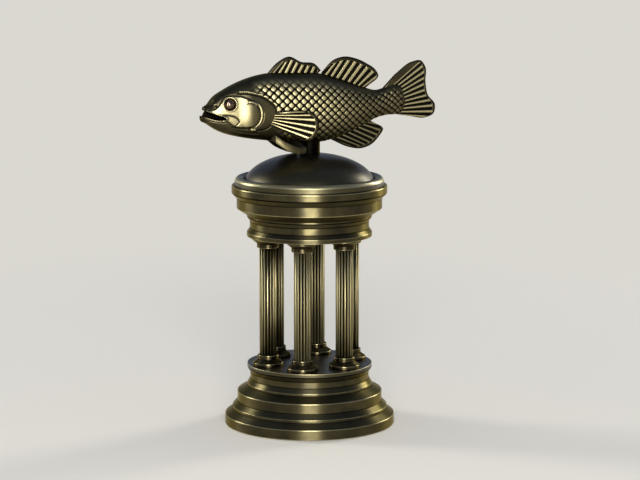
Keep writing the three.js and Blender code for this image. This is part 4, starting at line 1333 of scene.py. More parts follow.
    def _rings(self, at: np.ndarray) -> tuple[np.ndarray, np.ndarray, int]:
        """Place the points of every ring of the body on the left side and mirror them.

        Args:
            at: Shares of the length.

        Returns:
            Points of the rings, points of the lower lip on each side, and the column of the mouth's end.
        """
        rows = self.side_rows
        corner = self.mouth_row
        open_to = int(np.searchsorted(at, self.mouth_end))
        half = np.zeros((len(at), rows + 1, 3))
        lower_lip = np.zeros((open_to, 3))
        upper_share = np.linspace(0, 1, corner + 1)
        lower_share = np.linspace(0, 1, rows - corner + 1)
        corner_share = 0.0
        for i, along in enumerate(at):
            half_width, height, run = self._section(self._blunted(along))
            x = self.nose_x + along * self.length
            if i <= open_to:
                up, low = self._lips(x)
                first, second = np.interp([-up, -low], -height, run)
                corner_share = (first + second) / 2
            else:
                ease = float(smoothstep(self.mouth_end, self.row_blend, np.array(along)))
                first = second = corner_share + (corner / rows - corner_share) * ease
            above, below = first * upper_share, second + (1 - second) * lower_share
            shares = np.concatenate([above, below[1:]])
            half[i, :, 0] = x
            half[i, :, 1] = -np.interp(shares, run, half_width)
            half[i, :, 2] = np.interp(shares, run, height)
            if i < open_to:
                lower_lip[i] = x, -np.interp(second, run, half_width), np.interp(second, run, height)
            self._round_nose(along, half[i], lower_lip[i] if i < open_to else None, corner)
        half[:, :, 2] += self.axis_z
        lower_lip[:, 2] += self.axis_z
        mirror = half[:, -2:0:-1] * np.array([1, -1, 1])
        return np.concatenate([half, mirror], axis=1), lower_lip, open_to

    def _blunted(self, along: float) -> float:
        """Station whose section a place takes: near the nose the sections stop shrinking."""
        return (along + self.nose_round + math.hypot(along - self.nose_round, self.nose_round / 2)) / 2

    def _round_nose(self, along: float, ring: np.ndarray, lip: np.ndarray | None, corner: int) -> None:
        """Draw a ring near the nose in towards the middle of its jaw, so that both jaws end round.

        Args:
            along: Share of the length.
            ring: Points of the half ring, changed in place.
            lip: Point of the lower lip, changed in place.
            corner: Row of the upper lip.
        """
        lead = self.jaw_lead * max(0.0, 1 - along / (self.jaw_reach * self.nose_round))
        if along < self.nose_round:
            size = max(0.0, 1 - (1 - along / self.nose_round) ** self.nose_blunt) ** (1 / self.nose_blunt)
            upper_mid = (ring[0, 2] + ring[corner, 2]) / 2
            lower_mid = (lip[2] + ring[-1, 2]) / 2
            for part, middle in ((ring[:corner + 1], upper_mid), (ring[corner + 1:], lower_mid),
                                 (lip, lower_mid)):
                part[..., 0] = self.nose_x + along * self.length
                part[..., 1] *= size
                part[..., 2] = middle + size * (part[..., 2] - middle)
        ring[:corner + 1, 0] += lead

    def _head_relief(self, x: np.ndarray, z: np.ndarray, eye: np.ndarray,
                     eye_r: float) -> tuple[np.ndarray, ...]:
        """Height and marks of the head's forms at places on the fish's side, with the painted highlight of
        its plates.

        Args:
            x: Places along the fish.
            z: Heights above its axis.
            eye: Place of the eye on the side.
            eye_r: Radius of the eye.

        Returns:
            Heights, dark marks and bright marks.
        """
        height, grime, wear = np.zeros(x.shape), np.zeros(x.shape), np.zeros(x.shape)
        for plate in HEAD_PLATES:
            outline = smooth_line(plate.outline, closed=True)
            far = distance_to(outline, x, z) * np.where(inside(outline, x, z), 1, -1)
            form = plate.height * MM * smoothstep(-plate.edge * MM, plate.edge * MM, far)
            if plate.fade:
                form = form * smoothstep(plate.fade[0] * MM, plate.fade[1] * MM, x)
            height += form
            # Plates with a bright range get a painted highlight: the cheek and the jaw bar
            if plate.rubbed_and_lit:
                bright = smoothstep(plate.rubbed_and_lit[0] * MM, plate.rubbed_and_lit[1] * MM, x)
                wear = np.maximum(wear, self.cheek_rub * bright * smoothstep(0, plate.edge * MM, far))
        for line in HEAD_LINES:
            near = np.exp(-(distance_to(smooth_line(line.points), x, z) / (line.width * MM)) ** 2)
            height += line.height * MM * near
            grime = np.maximum(grime, line.grime * near)
            wear = np.maximum(wear, line.wear * near)
        for lip in (UPPER_LIP, LOWER_LIP):
            near = np.exp(-(distance_to(np.array(lip) * MM, x, z) / self.lip_width) ** 2)
            near = near * smoothstep(*self.lip_fade, x - self.nose_x)
            height += self.lip_height * near
            wear = np.maximum(wear, near)
        ring = np.hypot(x - eye[0], z - eye[1]) / eye_r
        socket = np.exp(-((ring - self.socket_at) / self.socket_width) ** 2)
        height -= self.socket_depth * socket + self.eye_sink * smoothstep(1.0, self.socket_floor, ring)
        height += self.lid_height * np.exp(-((ring - self.lid_at) / self.lid_width) ** 2)
        grime = np.maximum(grime, np.maximum(socket, smoothstep(1.0, self.socket_dark, ring)))
        return height, grime, wear

    def _body_mesh(self) -> Mesh:
        """Make the body's grid with the forms of the head, the mouth and the places of the scales.

        Returns:
            A closed mesh with the attributes that the scales read.
        """
        at = self._columns()
        points, lower_lip, open_to = self._rings(at)
        columns, around = points.shape[:2]
        rows = around // 2
        along = np.gradient(points, axis=0)
        across = np.roll(points, -1, axis=1) - np.roll(points, 1, axis=1)
        normals = np.cross(along, across)
        normals /= np.linalg.norm(normals, axis=2, keepdims=True) + TINY
        normals *= np.sign((normals * (points - points.mean(axis=1, keepdims=True))).sum(axis=2).mean())

        low, high = (np.array(corner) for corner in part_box("eye_left"))
        eye = (low + high) / 2
        height, grime, wear = self._head_relief(
            points[..., 0], points[..., 2] - self.axis_z, np.array([eye[0], eye[2] - self.axis_z]),
            (high[0] - low[0]) / 2)
        head = 1 - smoothstep(*self.relief_ends, at)[:, None]
        calm = smoothstep(self.nose_round, 3 * self.nose_round, at)[:, None]
        points = points + normals * (height * head * calm)[..., None]

        side = np.abs((np.arange(around) + rows) % around - rows) / rows
        outline = smooth_line(HEAD_PLATES[0].outline, closed=True)
        x, z = points[..., 0], points[..., 2] - self.axis_z
        off_gill = np.where(inside(outline, x, z), -1, 1) * distance_to(outline, x, z)
        mask = smoothstep(*self.bare_gill, off_gill)
        leaning = x + self.throat_lean * np.minimum(z, 0) + self.nape_lean * np.maximum(z, 0)
        mask *= smoothstep(*self.bare_throat, leaning)
        mask *= (smoothstep(*self.bare_back, side) * smoothstep(*self.bare_belly, side))[None, :]
        mask *= (1 - smoothstep(at[-1] - self.bare_tail[0], at[-1] - self.bare_tail[1], at))[:, None]
        # Wear and painted light: the upper flank is bright, with painted shade towards the tail and the belly
        belly, tail = self.rub_lost
        rub = (1 - belly * smoothstep(*self.rub_down, side))[None, :]
        rub = rub * (1 - tail * smoothstep(*self.rub_back, at))[:, None]
        wear = np.maximum(wear * head, rub * mask)
        scale_at = np.concatenate([self._scale_count(at, points, side), mask[..., None]], axis=2)
        # Painted shade darkens the nose tip and takes its wear away
        tip = self.nose_grime * (1 - smoothstep(self.nose_round / 2, 2 * self.nose_round, at))[:, None]
        return self._closed_body(points, lower_lip, open_to, {
            "scale_at": scale_at, "grime": np.maximum(grime * head, tip), "wear": wear * (1 - tip)})

    def _scale_count(self, at: np.ndarray, points: np.ndarray, side: np.ndarray) -> np.ndarray:
        """Count the scales along the flank and around it, so that they keep their size where the body thins.

        Args:
            at: Shares of the length.
            points: Points of the rings.
            side: Share of the half girth of each row.

        Returns:
            Scales from the gills and scales down from the middle of the flank, for each point.
        """
        ends = [self.scales_shrink, STATIONS[-1, 0]]
        pitch = np.interp(at, ends, self.scale_long) / self.length
        steps = np.diff(at) / pitch[1:]
        count = np.concatenate([[0], np.cumsum(steps)])
        half_girth = np.linalg.norm(np.diff(points, axis=1), axis=2).sum(axis=1) / 2
        tall = np.interp(at, ends, self.scale_tall)
        down = (side[None, :] - self.scale_mid) * (half_girth / tall)[:, None]
        return np.stack([np.broadcast_to(count[:, None], down.shape), down], axis=2)

    def _closed_body(self, points: np.ndarray, lower_lip: np.ndarray, open_to: int,
                     marks: Marks) -> Mesh:
        """Join the body's rings into a closed mesh with the roof and floor of the mouth.

        Args:
            points: Points of the rings.
            lower_lip: Points of the left lower lip.
            open_to: Column of the mouth's end.
            marks: Attributes of the rings' points.

        Returns:
            The mesh.
        """
        columns, around = points.shape[:2]
        left, right = self.mouth_row, around - self.mouth_row
        index = np.arange(columns * around).reshape(columns, around)
        verts = [points.reshape(-1, 3)]
        lower = index.copy()
        total = columns * around
        for row, sign in ((left, 1.0), (right, -1.0)):
            lower[:open_to, row] = np.arange(total, total + open_to)
            verts.append(lower_lip * np.array([1, sign, 1]))
            total += open_to

        # Roof and floor of the mouth run from lip to lip and meet at the mouth's end; the tongue fills it
        where = np.concatenate(verts)
        steps = np.linspace(0, 1, self.mouth_steps + 1)
        from_nose = where[index[:open_to + 1, left], 0] - self.nose_x
        vault = self.vault * smoothstep(0, 2 * self.tongue_tip, from_nose) * np.linspace(1, 0, open_to + 1)
        tongue = (smoothstep(*self.tongue_side, steps) * smoothstep(*self.tongue_side, 1 - steps))[1:-1]
        back = smoothstep(self.tongue_tip, 2 * self.tongue_tip, from_nose)
        strips, where_roof = [], []
        for grid, lift in ((index, vault), (lower, -vault)):
            strip = np.zeros((open_to + 1, self.mouth_steps + 1), int)
            for i in range(open_to + 1):
                if i == open_to and strips:
                    strip[i] = strips[0][i]
                    continue
                start, end = where[grid[i, left]], where[grid[i, right]]
                strip[i, 0], strip[i, -1] = grid[i, left], grid[i, right]
                inner = start + (end - start) * steps[1:-1, None]
                inner[:, 2] += lift[i] * np.sin(np.pi * steps[1:-1])
                if strips:
                    inner[:, 2] += tongue * back[i] * (where_roof[i] - inner[:, 2])
                else:
                    where_roof.append(inner[:, 2] - self.tongue_gap)
                strip[i, 1:-1] = np.arange(total, total + self.mouth_steps - 1)
                verts.append(inner)
                total += self.mouth_steps - 1
            strips.append(strip)

        faces = []
        for i in range(columns - 1):
            for j in range(around):
                following = (j + 1) % around
                grid = lower if left <= j < right else index
                faces.append((grid[i, j], grid[i + 1, j], grid[i + 1, following], grid[i, following]))
        for strip, turned in ((strips[0], False), (strips[1], True)):
            for i in range(open_to):
                for k in range(self.mouth_steps):
                    face = (strip[i, k], strip[i + 1, k], strip[i + 1, k + 1], strip[i, k + 1])
                    faces.append(face if not turned else face[::-1])
        upper_loop = [*index[0, right:], *index[0, :left + 1], *strips[0][0, 1:-1]]
        lower_loop = [*lower[0, left:right + 1], *strips[1][0, -2:0:-1]]
        faces += [tuple(upper_loop), tuple(lower_loop), tuple(index[-1, ::-1])]
        extra = total - columns * around
        padded = {
            "grime": np.concatenate([marks["grime"].ravel(), np.ones(extra)]),
            "wear": np.concatenate([marks["wear"].ravel(), np.zeros(extra)]),
            "scale_at": np.concatenate([marks["scale_at"].reshape(-1, 3), np.zeros((extra, 3))]),
        }
        return new_mesh("bass_body", np.concatenate(verts), [tuple(int(v) for v in f) for f in faces], padded)

    def _scale_tree(self) -> NodeTree:
        """Build the tree that raises lozenge scales in step with the body's grid.

        Returns:
            A tree with the relief and the tilt of the scales.
        """
        tree, given = new_tree("lozenge_scales", {
            "Geometry": SocketKind.GEOMETRY, "Relief": SocketKind.NUMBER, "Tilt": SocketKind.NUMBER,
            "Material": SocketKind.MATERIAL})
        spot = add_node(tree, "GeometryNodeInputNamedAttribute", {"Name": "scale_at"},
                        data_type="FLOAT_VECTOR")
        parts = add_node(tree, "ShaderNodeSeparateXYZ", {0: spot})
        mask = parts.outputs[2]

        # Along the two diagonals every whole number is the middle of a scale
        offsets = []
        for operation in ("ADD", "SUBTRACT"):
            diagonal = add_node(tree, "ShaderNodeMath", {0: parts.outputs[0], 1: parts.outputs[1]},
                                operation=operation)
            shifted = add_node(tree, "ShaderNodeMath", {0: diagonal, 1: 0.5}, operation="ADD")
            share = add_node(tree, "ShaderNodeMath", {0: shifted}, operation="FRACT")
            offsets.append(add_node(tree, "ShaderNodeMath", {0: share, 1: 0.5}, operation="SUBTRACT"))
        sizes = [add_node(tree, "ShaderNodeMath", {0: offset}, operation="ABSOLUTE") for offset in offsets]
        powers = [add_node(tree, "ShaderNodeMath", {0: size, 1: self.scale_square}, operation="POWER")
                  for size in sizes]
        added = add_node(tree, "ShaderNodeMath", {0: powers[0], 1: powers[1]}, operation="ADD")
        lozenge = add_node(tree, "ShaderNodeMath", {0: added, 1: 1 / self.scale_square}, operation="POWER")
        back = add_node(tree, "ShaderNodeMath", {0: offsets[0], 1: offsets[1]}, operation="ADD")
        square = add_node(tree, "ShaderNodeMath", {0: back, 1: back}, operation="MULTIPLY")
        narrow = add_node(tree, "ShaderNodeMath", {0: square, 1: self.scale_pinch}, operation="MULTIPLY")
        reach = add_node(tree, "ShaderNodeMath", {0: lozenge, 1: narrow}, operation="ADD")
        inner = add_node(tree, "ShaderNodeMapRange", {
            "Value": reach, "From Max": 0.5, "To Min": 1.0, "To Max": 0.0})
        hollow = add_node(tree, "ShaderNodeMath", {0: 1.0, 1: inner}, operation="SUBTRACT")
        dish = add_node(tree, "ShaderNodeMath", {0: hollow, 1: 2.0}, operation="POWER")
        valley = add_node(tree, "ShaderNodeMapRange", {"Value": hollow, "From Min": self.scale_valley})
        bowl = add_node(tree, "ShaderNodeMix", {"Factor": self.scale_dish, "A": valley, "B": dish})
        slope = add_node(tree, "ShaderNodeMath", {0: back, 1: given.outputs["Tilt"]}, operation="MULTIPLY")
        sunk = add_node(tree, "ShaderNodeMath", {0: bowl, 1: given.outputs["Relief"]}, operation="MULTIPLY")
        form = add_node(tree, "ShaderNodeMath", {0: slope, 1: sunk}, operation="SUBTRACT")
        masked = add_node(tree, "ShaderNodeMath", {0: form, 1: mask}, operation="MULTIPLY")
        push = add_node(tree, "ShaderNodeVectorMath", {
            0: add_node(tree, "GeometryNodeInputNormal"), "Scale": masked}, operation="SCALE")
        raised = add_node(tree, "GeometryNodeSetPosition", {
            "Geometry": given.outputs["Geometry"], "Offset": push})

        # Black lines between the scales, and the bright mark of wear and painted highlight kept to the middle
        # of each
        old = add_node(tree, "GeometryNodeInputNamedAttribute", {"Name": "grime"}, data_type="FLOAT")
        line = add_node(tree, "ShaderNodeMapRange", {
            "Value": inner, "From Min": self.scale_line[0], "From Max": self.scale_line[1],
            "To Min": 1.0, "To Max": 0.0})
        faint = add_node(tree, "ShaderNodeMath", {0: line, 1: mask}, operation="MULTIPLY")
        both = add_node(tree, "ShaderNodeMath", {0: old, 1: faint}, operation="MAXIMUM")
        grimy = add_node(tree, "GeometryNodeStoreNamedAttribute", {
            "Geometry": raised, "Name": "grime", "Value": both}, data_type="FLOAT", domain="POINT")
        rubbed_and_lit = add_node(tree, "GeometryNodeInputNamedAttribute", {"Name": "wear"}, data_type="FLOAT")
        crest = add_node(tree, "ShaderNodeMapRange", {
            "Value": inner, "From Min": self.scale_crown[0], "From Max": self.scale_crown[1]})
        crown = add_node(tree, "ShaderNodeMix", {"Factor": mask, "A": 1.0, "B": crest})
        most = add_node(tree, "ShaderNodeMath", {0: rubbed_and_lit, 1: crown}, operation="MULTIPLY")
        worn = add_node(tree, "GeometryNodeStoreNamedAttribute", {
            "Geometry": grimy, "Name": "wear", "Value": most}, data_type="FLOAT", domain="POINT")
        return close_tree(tree, worn, given)

    def _ray_tree(self) -> NodeTree:
        """Build the tree that cuts the grooves between a fin's rays.

        Returns:
            A tree with the depth of the grooves and the bright mark on the rays, worn crests and painted
            highlight.
        """
        tree, given = new_tree("fin_rays", {
            "Geometry": SocketKind.GEOMETRY, "Depth": SocketKind.NUMBER, "Rub": SocketKind.NUMBER,
            "Material": SocketKind.MATERIAL})
        spot = add_node(tree, "GeometryNodeInputNamedAttribute", {"Name": "ray_at"}, data_type="FLOAT_VECTOR")
        parts = add_node(tree, "ShaderNodeSeparateXYZ", {0: spot})
        shifted = add_node(tree, "ShaderNodeMath", {0: parts.outputs[0], 1: 0.5}, operation="ADD")
        share = add_node(tree, "ShaderNodeMath", {0: shifted}, operation="FRACT")
        offset = add_node(tree, "ShaderNodeMath", {0: share, 1: 0.5}, operation="SUBTRACT")
        off_groove = add_node(tree, "ShaderNodeMath", {0: offset}, operation="ABSOLUTE")
        groove = add_node(tree, "ShaderNodeMapRange", {
            "Value": off_groove, "From Min": self.groove_sides[0], "From Max": self.groove_sides[1],
            "To Min": 1.0, "To Max": 0.0}, interpolation_type="SMOOTHSTEP")
        kept = add_node(tree, "ShaderNodeMath", {0: groove, 1: parts.outputs[1]}, operation="MULTIPLY")
        depth = add_node(tree, "ShaderNodeMath", {0: kept, 1: given.outputs["Depth"]}, operation="MULTIPLY")
        inward = add_node(tree, "ShaderNodeMath", {0: depth, 1: -1.0}, operation="MULTIPLY")
        side = add_node(tree, "GeometryNodeInputNamedAttribute", {"Name": "facing"}, data_type="FLOAT_VECTOR")
        push = add_node(tree, "ShaderNodeVectorMath", {0: side, "Scale": inward}, operation="SCALE")
        cut = add_node(tree, "GeometryNodeSetPosition", {
            "Geometry": given.outputs["Geometry"], "Offset": push})
        # Grooves keep their dark patina; the rim's dark mark is painted shade
        dark = add_node(tree, "ShaderNodeMath", {0: kept, 1: parts.outputs[2]}, operation="MAXIMUM")
        grimy = add_node(tree, "GeometryNodeStoreNamedAttribute", {
            "Geometry": cut, "Name": "grime", "Value": dark}, data_type="FLOAT", domain="POINT")
        # Ray crests are worn bright; the strength set per fin paints a highlight
        crest = add_node(tree, "ShaderNodeMapRange", {
            "Value": off_groove, "From Min": self.ray_crest[0], "From Max": self.ray_crest[1]})
        bright = add_node(tree, "ShaderNodeMath", {0: crest, 1: parts.outputs[1]}, operation="MULTIPLY")
        rub = add_node(tree, "ShaderNodeMath", {0: bright, 1: given.outputs["Rub"]}, operation="MULTIPLY")
        worn = add_node(tree, "GeometryNodeStoreNamedAttribute", {
            "Geometry": grimy, "Name": "wear", "Value": rub}, data_type="FLOAT", domain="POINT")
        return close_tree(tree, worn, given)

    def _fin_mesh(self, fin: Fin, root: np.ndarray, edge: np.ndarray, normal: np.ndarray) -> Mesh:
        """Make a fin as a closed blade with round edges, marked with the places of its rays.

        Args:
            fin: The fin.
            root: Points of its root line.
            edge: Points of its free edge.
            normal: Direction across its thickness.

        Returns:
            The blade before its rays are cut.
        """
        start, end = (along_curve(line, np.linspace(0, 1, FIN_PROBES)) for line in (root, edge))
        widest = max(np.linalg.norm(np.diff(line, axis=0), axis=1).sum() for line in (start, end))
        longest = np.linalg.norm(end - start, axis=1).max()
        across, out = (crowded(int(size / self.fin_step), self.fin_crowding) for size in (widest, longest))
        start, end = along_curve(root, across), along_curve(edge, across)
        middle = start[:, None] + (end - start)[:, None] * out[None, :, None]
        reach = np.linalg.norm(end - start, axis=1)[:, None] * (1 - out)[None, :]
        chord = np.linalg.norm(np.diff(middle, axis=0), axis=2)
        run = np.concatenate([np.zeros((1, len(out))), np.cumsum(chord, axis=0)])
        to_side = np.minimum(run, run[-1] - run)
        half = fin.thickness / 2 * (1 - (1 - fin.tip_share) * out)[None, :] * np.ones_like(reach)
        border = np.minimum(reach, to_side)
        slope, turn = np.clip(border / fin.bevel, 0, 1), np.clip(border / fin.edge_round, 0, 1)
        half = half * ((1 - self.edge_share) * slope + self.edge_share * np.sqrt(1 - (1 - turn) ** 2))
        half[:, 0] = 0
        ray, weight = self._grooves(fin, middle)
        weight = weight * smoothstep(*self.groove_border, slope)
        columns, rows = len(across), len(out)
        index = np.arange(columns * rows).reshape(columns, rows)
        inner = np.ones((columns, rows), bool)
        inner[[0, -1], :] = inner[:, [0, -1]] = False
        far = index.copy()
        far[inner] = columns * rows + np.arange(inner.sum())
        front, behind = middle + half[..., None] * normal, middle - half[..., None] * normal
        points = np.concatenate([front.reshape(-1, 3), behind[inner]])
        faces = []
        for i in range(columns - 1):
            for j in range(rows - 1):
                faces.append((index[i, j], index[i + 1, j], index[i + 1, j + 1], index[i, j + 1]))
                faces.append((far[i, j], far[i, j + 1], far[i + 1, j + 1], far[i + 1, j]))
        # The rounded rim is darkened: painted shade
        painted_rim_shade = fin.rim_grime * (1 - smoothstep(*self.rim_shade_border, slope))
        ray_at = np.stack([ray, weight, painted_rim_shade], axis=2)
        facing = np.where(inner[..., None], normal, 0.0)
        marks = {
            "ray_at": np.concatenate([ray_at.reshape(-1, 3), ray_at[inner]]),
            "facing": np.concatenate([facing.reshape(-1, 3), -facing[inner]]),
        }
        return new_mesh(fin.name, points, [tuple(int(v) for v in f) for f in faces], marks)

    def _grooves(self, fin: Fin, places: np.ndarray) -> tuple[np.ndarray, np.ndarray]:
        """Find where places on a fin lie among the straight grooves between its rays.

        Args:
            fin: The fin.
            places: Points of the fin.

        Returns:
            Count of grooves from the first, and 1 where the grooves are cut or 0 where the fin is smooth.
        """
        if fin.grooves == 0:
            return np.zeros(places.shape[:2]), np.zeros(places.shape[:2])
        shares = np.linspace(0, 1, LANES_PER_GROOVE * fin.grooves)
        foot, tip = (along_curve(np.array([self.at(place)[[0, 2]] for place in line]), shares)
                     for line in (fin.foot, fin.tip))
        way = tip - foot
        length = np.linalg.norm(way, axis=1)
        spot = places[..., [0, 2]][..., None, :] - foot
        off = (way[:, 0] * spot[..., 1] - way[:, 1] * spot[..., 0]) / length
        off = off * np.sign(off[..., 0].mean() - off[..., -1].mean())
        lane = np.clip((off > 0).sum(axis=-1) - 1, 0, len(shares) - 2)[..., None]
        here, following = (np.take_along_axis(off, place, -1)[..., 0] for place in (lane, lane + 1))
        lane = lane[..., 0]
        ray = (lane + here / (here - following)) / (len(shares) - 1) * (fin.grooves - 1)
        along = np.take_along_axis((spot * way).sum(axis=-1) / length, lane[..., None], -1)[..., 0]
        weight = 1 - smoothstep(*self.groove_end, along - length[lane])
        near, far = self.groove_margin
        weight *= smoothstep(-far, -near, ray) * smoothstep(-far, -near, fin.grooves - 1 - ray)
        return ray, weight

    def _paired_fin(self, fin: Fin, hand: Hand, rays: NodeTree, brass: Material) -> None:
        """Make the fin of one side, rooted in the flank and standing off it.

        Args:
            fin: The fin.
            hand: Side of the fish.
            rays: Tree that cuts the rays.
            brass: Finish.
        """
        turn = np.array([1, -hand.value, 1])
        root = np.array([self.at(place, -self.flank(place)) for place in fin.root]) * turn
        stands = [self.at(place, -share * fin.spread) for place, share in zip(fin.edge, fin.stand)]
        edge = np.array(stands) * turn
        reach = edge[len(edge) // 2] - root.mean(axis=0)
        normal = np.cross(root[1] - root[0], reach)
        normal = np.array([0.0, 0.0, 1.0]) if fin.upright else normal / np.linalg.norm(normal)
        sunk = root - reach / np.linalg.norm(reach) * self.fin_sink
        side = hand.name.lower()
        mesh = self._fin_mesh(fin, sunk, edge, normal)
        piece = grown(f"{fin.name}_{side}", mesh, rays, {
            "Depth": self.groove_depth, "Rub": fin.rub, "Material": brass})
        seat(piece, [f"{fin.node}_{side}"])

    def _eye(self, hand: Hand, finish: Material) -> None:
        """Make a polished eyeball with the ring of its iris, set in the head.

        Args:
            hand: Side of the fish.
            finish: Finish of the eye.
        """
        side = hand.name.lower()
        low, high = (Vector(corner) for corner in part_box(f"eye_{side}"))
        radius = (high.x - low.x) / 2
        angles = np.linspace(0, self.eye_reach, self.eye_steps)
        iris = self.iris_depth * np.exp(-((angles - self.iris_at) / self.iris_width) ** 2)
        turns = np.radians(angles)
        reach = radius - iris
        profile = zip(reach * np.sin(turns), reach * np.cos(turns), angles > self.eye_shade)
        corners = [Corner(max(0.0, r), z, Edge.SEAM if dark else Edge.HIDDEN) for r, z, dark in profile]
        corners.append(Corner(0, corners[-1].height, Edge.SEAM))
        mesh = turned_mesh(f"eyeball_{side}", corners, self.eye_sides)
        centre = (low + high) / 2
        mesh.transform(Matrix.Translation(centre) @ Matrix.Rotation(-hand.value * math.pi / 2, 4, "X"))
        mesh.materials.append(finish)
        seat(placed(f"eyeball_{side}", mesh), [f"eye_{side}"])


@dataclass(frozen=True)
class Softbox:
    """Large soft lamp: its place round the trophy in degrees, distance, size and brightness."""

    name: str
    azimuth: float
    elevation: float
    distance: float
    width: float
    height: float
    radiance: float


@dataclass
class Studio:
    """Pale floor, soft lamps, a plain world and the camera at the angle of the photograph."""

    azimuth: float = -21.2
    elevation: float = 9.0
    distance: float = 1.92
    far_clip: float = 100.0
    lens: float = 135.0
    target: tuple[float, float, float] = (9.04 * MM, 0.0, 147.88 * MM)
    floor_size: float = 120.0
    floor_colour: str = "#ece4d0"
    floor_lift: float = 0.12
    paper_scale: float = 180.0
    paper_tooth: float = 0.2 * MM
    backdrop: str = "#dad8d1"
    backdrop_reach: Point2 = (0.3, 1.0)
    wall_foot: Point2 = (0.02, 0.1)
    wall_top: Point2 = (0.02, 0.35)
    horizon: str = "#adadaa"
    zenith: str = "#7180a0"
    lamps: tuple[Softbox, ...] = (
        Softbox("key_softbox", -20, 13, 2.4, 0.9, 1.4, 13.0),
        Softbox("low_strip", -20, -4.4, 0.95, 0.36, 0.14, 20.5),
        Softbox("left_softbox", -132, 16, 2.4, 0.6, 1.4, 11.0),
        Softbox("right_softbox", 108, 16, 2.4, 0.6, 1.4, 11.0),
    )

    def _toward(self, azimuth: float, elevation: float) -> Vector:
        """Unit vector from the trophy at an azimuth and elevation in degrees."""
        a, e = math.radians(azimuth), math.radians(elevation)
        return Vector((math.sin(a) * math.cos(e), -math.cos(a) * math.cos(e), math.sin(e)))

    def build(self) -> None:
        """Make the floor, the world, the lamps and the camera."""
        self._floor()
        self._world()
        for lamp in self.lamps:
            self._lamp(lamp)
        self._camera()

    def _seen(self, tree: NodeTree) -> NodeSocket:
        """Tell the rays that show the background from those that only carry light.

        Args:
            tree: Node tree of the floor.

        Returns:
            Socket that is 1 for camera, mirror and see-through rays.
        """
        ray = add_node(tree, "ShaderNodeLightPath")
        seen = add_node(tree, "ShaderNodeMath", {
            0: ray.outputs["Is Camera Ray"], 1: ray.outputs["Is Glossy Ray"]}, operation="MAXIMUM")
        return add_node(tree, "ShaderNodeMath", {0: seen, 1: ray.outputs["Is Transmission Ray"]},
                        operation="MAXIMUM").outputs[0]

    def _floor(self) -> None:
        """Lay the pale floor and mark it as stage."""
        half = self.floor_size / 2
        mesh = bpy.data.meshes.new("studio_floor")
        mesh.from_pydata([(-half, -half, 0), (half, -half, 0), (half, half, 0), (-half, half, 0)], [],
                         [(0, 1, 2, 3)])
        material, tree, place = new_material("pale_paper")
        grain = add_node(tree, "ShaderNodeTexNoise", {"Vector": place, "Scale": self.paper_scale})
        tooth = add_node(tree, "ShaderNodeBump", {
            "Height": grain, "Strength": 0.1, "Distance": self.paper_tooth})
        seen = self._seen(tree)
        lift = add_node(tree, "ShaderNodeMath", {0: seen, 1: self.floor_lift}, operation="MULTIPLY")
        surface = add_node(tree, "ShaderNodeBsdfPrincipled", {
            "Base Color": linear(self.floor_colour), "Roughness": 0.9, "Specular IOR Level": 0.1,
            "Normal": tooth, "Emission Color": linear(self.floor_colour), "Emission Strength": lift})
        # Near the trophy the floor takes light and shadow; far off it shows one even tone
        away = add_node(tree, "ShaderNodeVectorMath", {0: place}, operation="LENGTH").outputs["Value"]
        far = add_node(tree, "ShaderNodeMapRange", {
            "Value": away, "From Min": self.backdrop_reach[0], "From Max": self.backdrop_reach[1]},
            interpolation_type="SMOOTHSTEP")
        even = add_node(tree, "ShaderNodeMath", {0: seen, 1: far}, operation="MULTIPLY")
        paper = add_node(tree, "ShaderNodeEmission", {"Color": linear(self.backdrop), "Strength": 1.0})
        mixed = add_node(tree, "ShaderNodeMixShader", {0: even, 1: surface, 2: paper})
        add_node(tree, "ShaderNodeOutputMaterial", {"Surface": mixed})
        mesh.materials.append(material)
        placed("studio_floor", mesh)

    def _world(self) -> None:
        """Give the studio walls that meet the floor in its own pale tone, and a darker ceiling."""
        world = bpy.data.worlds.new("studio_walls")
        world.use_nodes = True
        tree = world.node_tree
        tree.nodes.clear()
        way = add_node(tree, "ShaderNodeTexCoord").outputs["Generated"]
        height = add_node(tree, "ShaderNodeSeparateXYZ", {0: way}).outputs[2]
        foot = add_node(tree, "ShaderNodeMapRange", {
            "Value": height, "From Min": self.wall_foot[0], "From Max": self.wall_foot[1]},
            interpolation_type="SMOOTHSTEP")
        wall = add_node(tree, "ShaderNodeMix", {
            "Factor": foot, 6: linear(self.backdrop), 7: linear(self.horizon)}, data_type="RGBA")
        up = add_node(tree, "ShaderNodeMapRange", {
            "Value": height, "From Min": self.wall_top[0], "From Max": self.wall_top[1]})
        tone = add_node(tree, "ShaderNodeMix", {
            "Factor": up, 6: wall.outputs[2], 7: linear(self.zenith)}, data_type="RGBA")
        light = add_node(tree, "ShaderNodeBackground", {"Color": tone.outputs[2], "Strength": 1.0})
        add_node(tree, "ShaderNodeOutputWorld", {"Surface": light})
        bpy.context.scene.world = world

    def _lamp(self, lamp: Softbox) -> None:
        """Hang one softbox, turned to the trophy.

        Args:
            lamp: The softbox.
        """
        light = bpy.data.lights.new(lamp.name, "AREA")
        light.shape = "RECTANGLE"
        light.size, light.size_y = lamp.width, lamp.height
        light.energy = lamp.radiance * math.pi * lamp.width * lamp.height
        holder = placed(lamp.name, light)
        away = self._toward(lamp.azimuth, lamp.elevation)
        holder.location = Vector(self.target) + away * lamp.distance
        holder.rotation_euler = (-away).to_track_quat("-Z", "Y").to_euler()

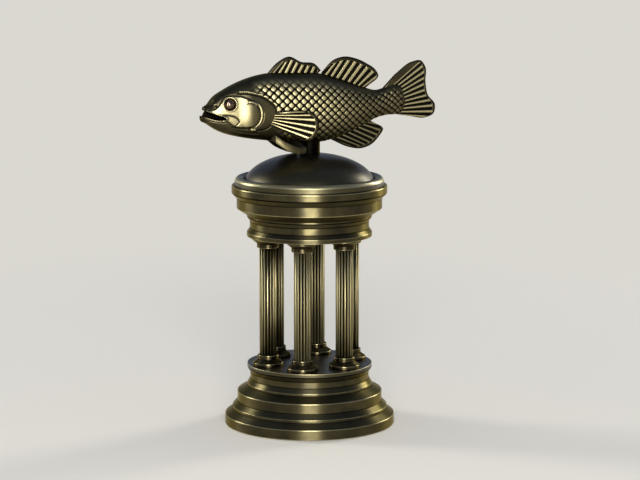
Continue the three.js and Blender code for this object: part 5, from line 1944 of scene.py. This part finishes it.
    def _camera(self) -> None:
        """Place the camera."""
        data = bpy.data.cameras.new("camera")
        data.lens = self.lens
        data.clip_end = self.far_clip
        camera = placed("camera", data)
        back = self._toward(self.azimuth, self.elevation)
        camera.location = Vector(self.target) + back * self.distance
        camera.rotation_euler = (-back).to_track_quat("-Z", "Y").to_euler()
        bpy.context.scene.camera = camera


def dress_fasteners(steel: Material) -> None:
    """Give the hidden cover, bolts, nuts and stud their plated finish.

    Args:
        steel: Finish of the fasteners.
    """
    slots = {part["node"]: part["material_slot"] for part in frame["record"]["subparts"]}
    for name, node in frame["nodes"].items():
        if slots.get(name) == "steel":
            node.data.materials.clear()
            node.data.materials.append(steel)
            LOG.info("%s: solid kept, plated", name)


def main() -> None:
    """Build, dress and stage the trophy."""
    logging.basicConfig(level=logging.INFO, format="%(name)s: %(message)s")
    bpy.context.scene.view_settings.view_transform = "Standard"
    turned = AntiqueBrass("antique_brass_turned", Grain.TURNED, polished="#544d34", tarnished="#403b2c",
                          roughness=0.3, anisotropy=0.8, wear_strength=0.45).build()
    spun = AntiqueBrass("antique_brass_spun", Grain.TURNED, polished="#514b36", tarnished="#494432",
                        grazing="#ffffff", roughness=0.32, rubbed_roughness=0.36, wear_strength=0.6).build()
    # A darker copy of the turned brass for the column bases and capitals: painted shade
    shaded_collars = AntiqueBrass("antique_brass_shaded_collars", Grain.TURNED, polished="#463f2b", tarnished="#352f22",
                            roughness=0.3, anisotropy=0.8, wear_strength=0.45).build()
    fluted = AntiqueBrass("antique_brass_fluted", Grain.TURNED, polished="#544d34", tarnished="#403b2c",
                          roughness=0.34, rubbed_roughness=0.34, anisotropy=0.7, wear_strength=0.6).build()
    cast = AntiqueBrass("antique_brass_cast", Grain.CAST, polished="#524b34", tarnished="#3e392a",
                        rubbed_roughness=0.4).build()
    eye = AntiqueBrass("antique_brass_eye", Grain.CAST, polished="#7b6a59", tarnished="#695848",
                       roughness=0.14).build()
    Studio().build()
    SteppedBase().build(turned, spun, WoolFelt().build())
    Colonnade().build(shaded_collars, fluted)
    Entablature().build(turned, spun)
    Bass().build(cast, eye)
    dress_fasteners(ZincSteel().build())


if __name__ == "__main__":
    main()
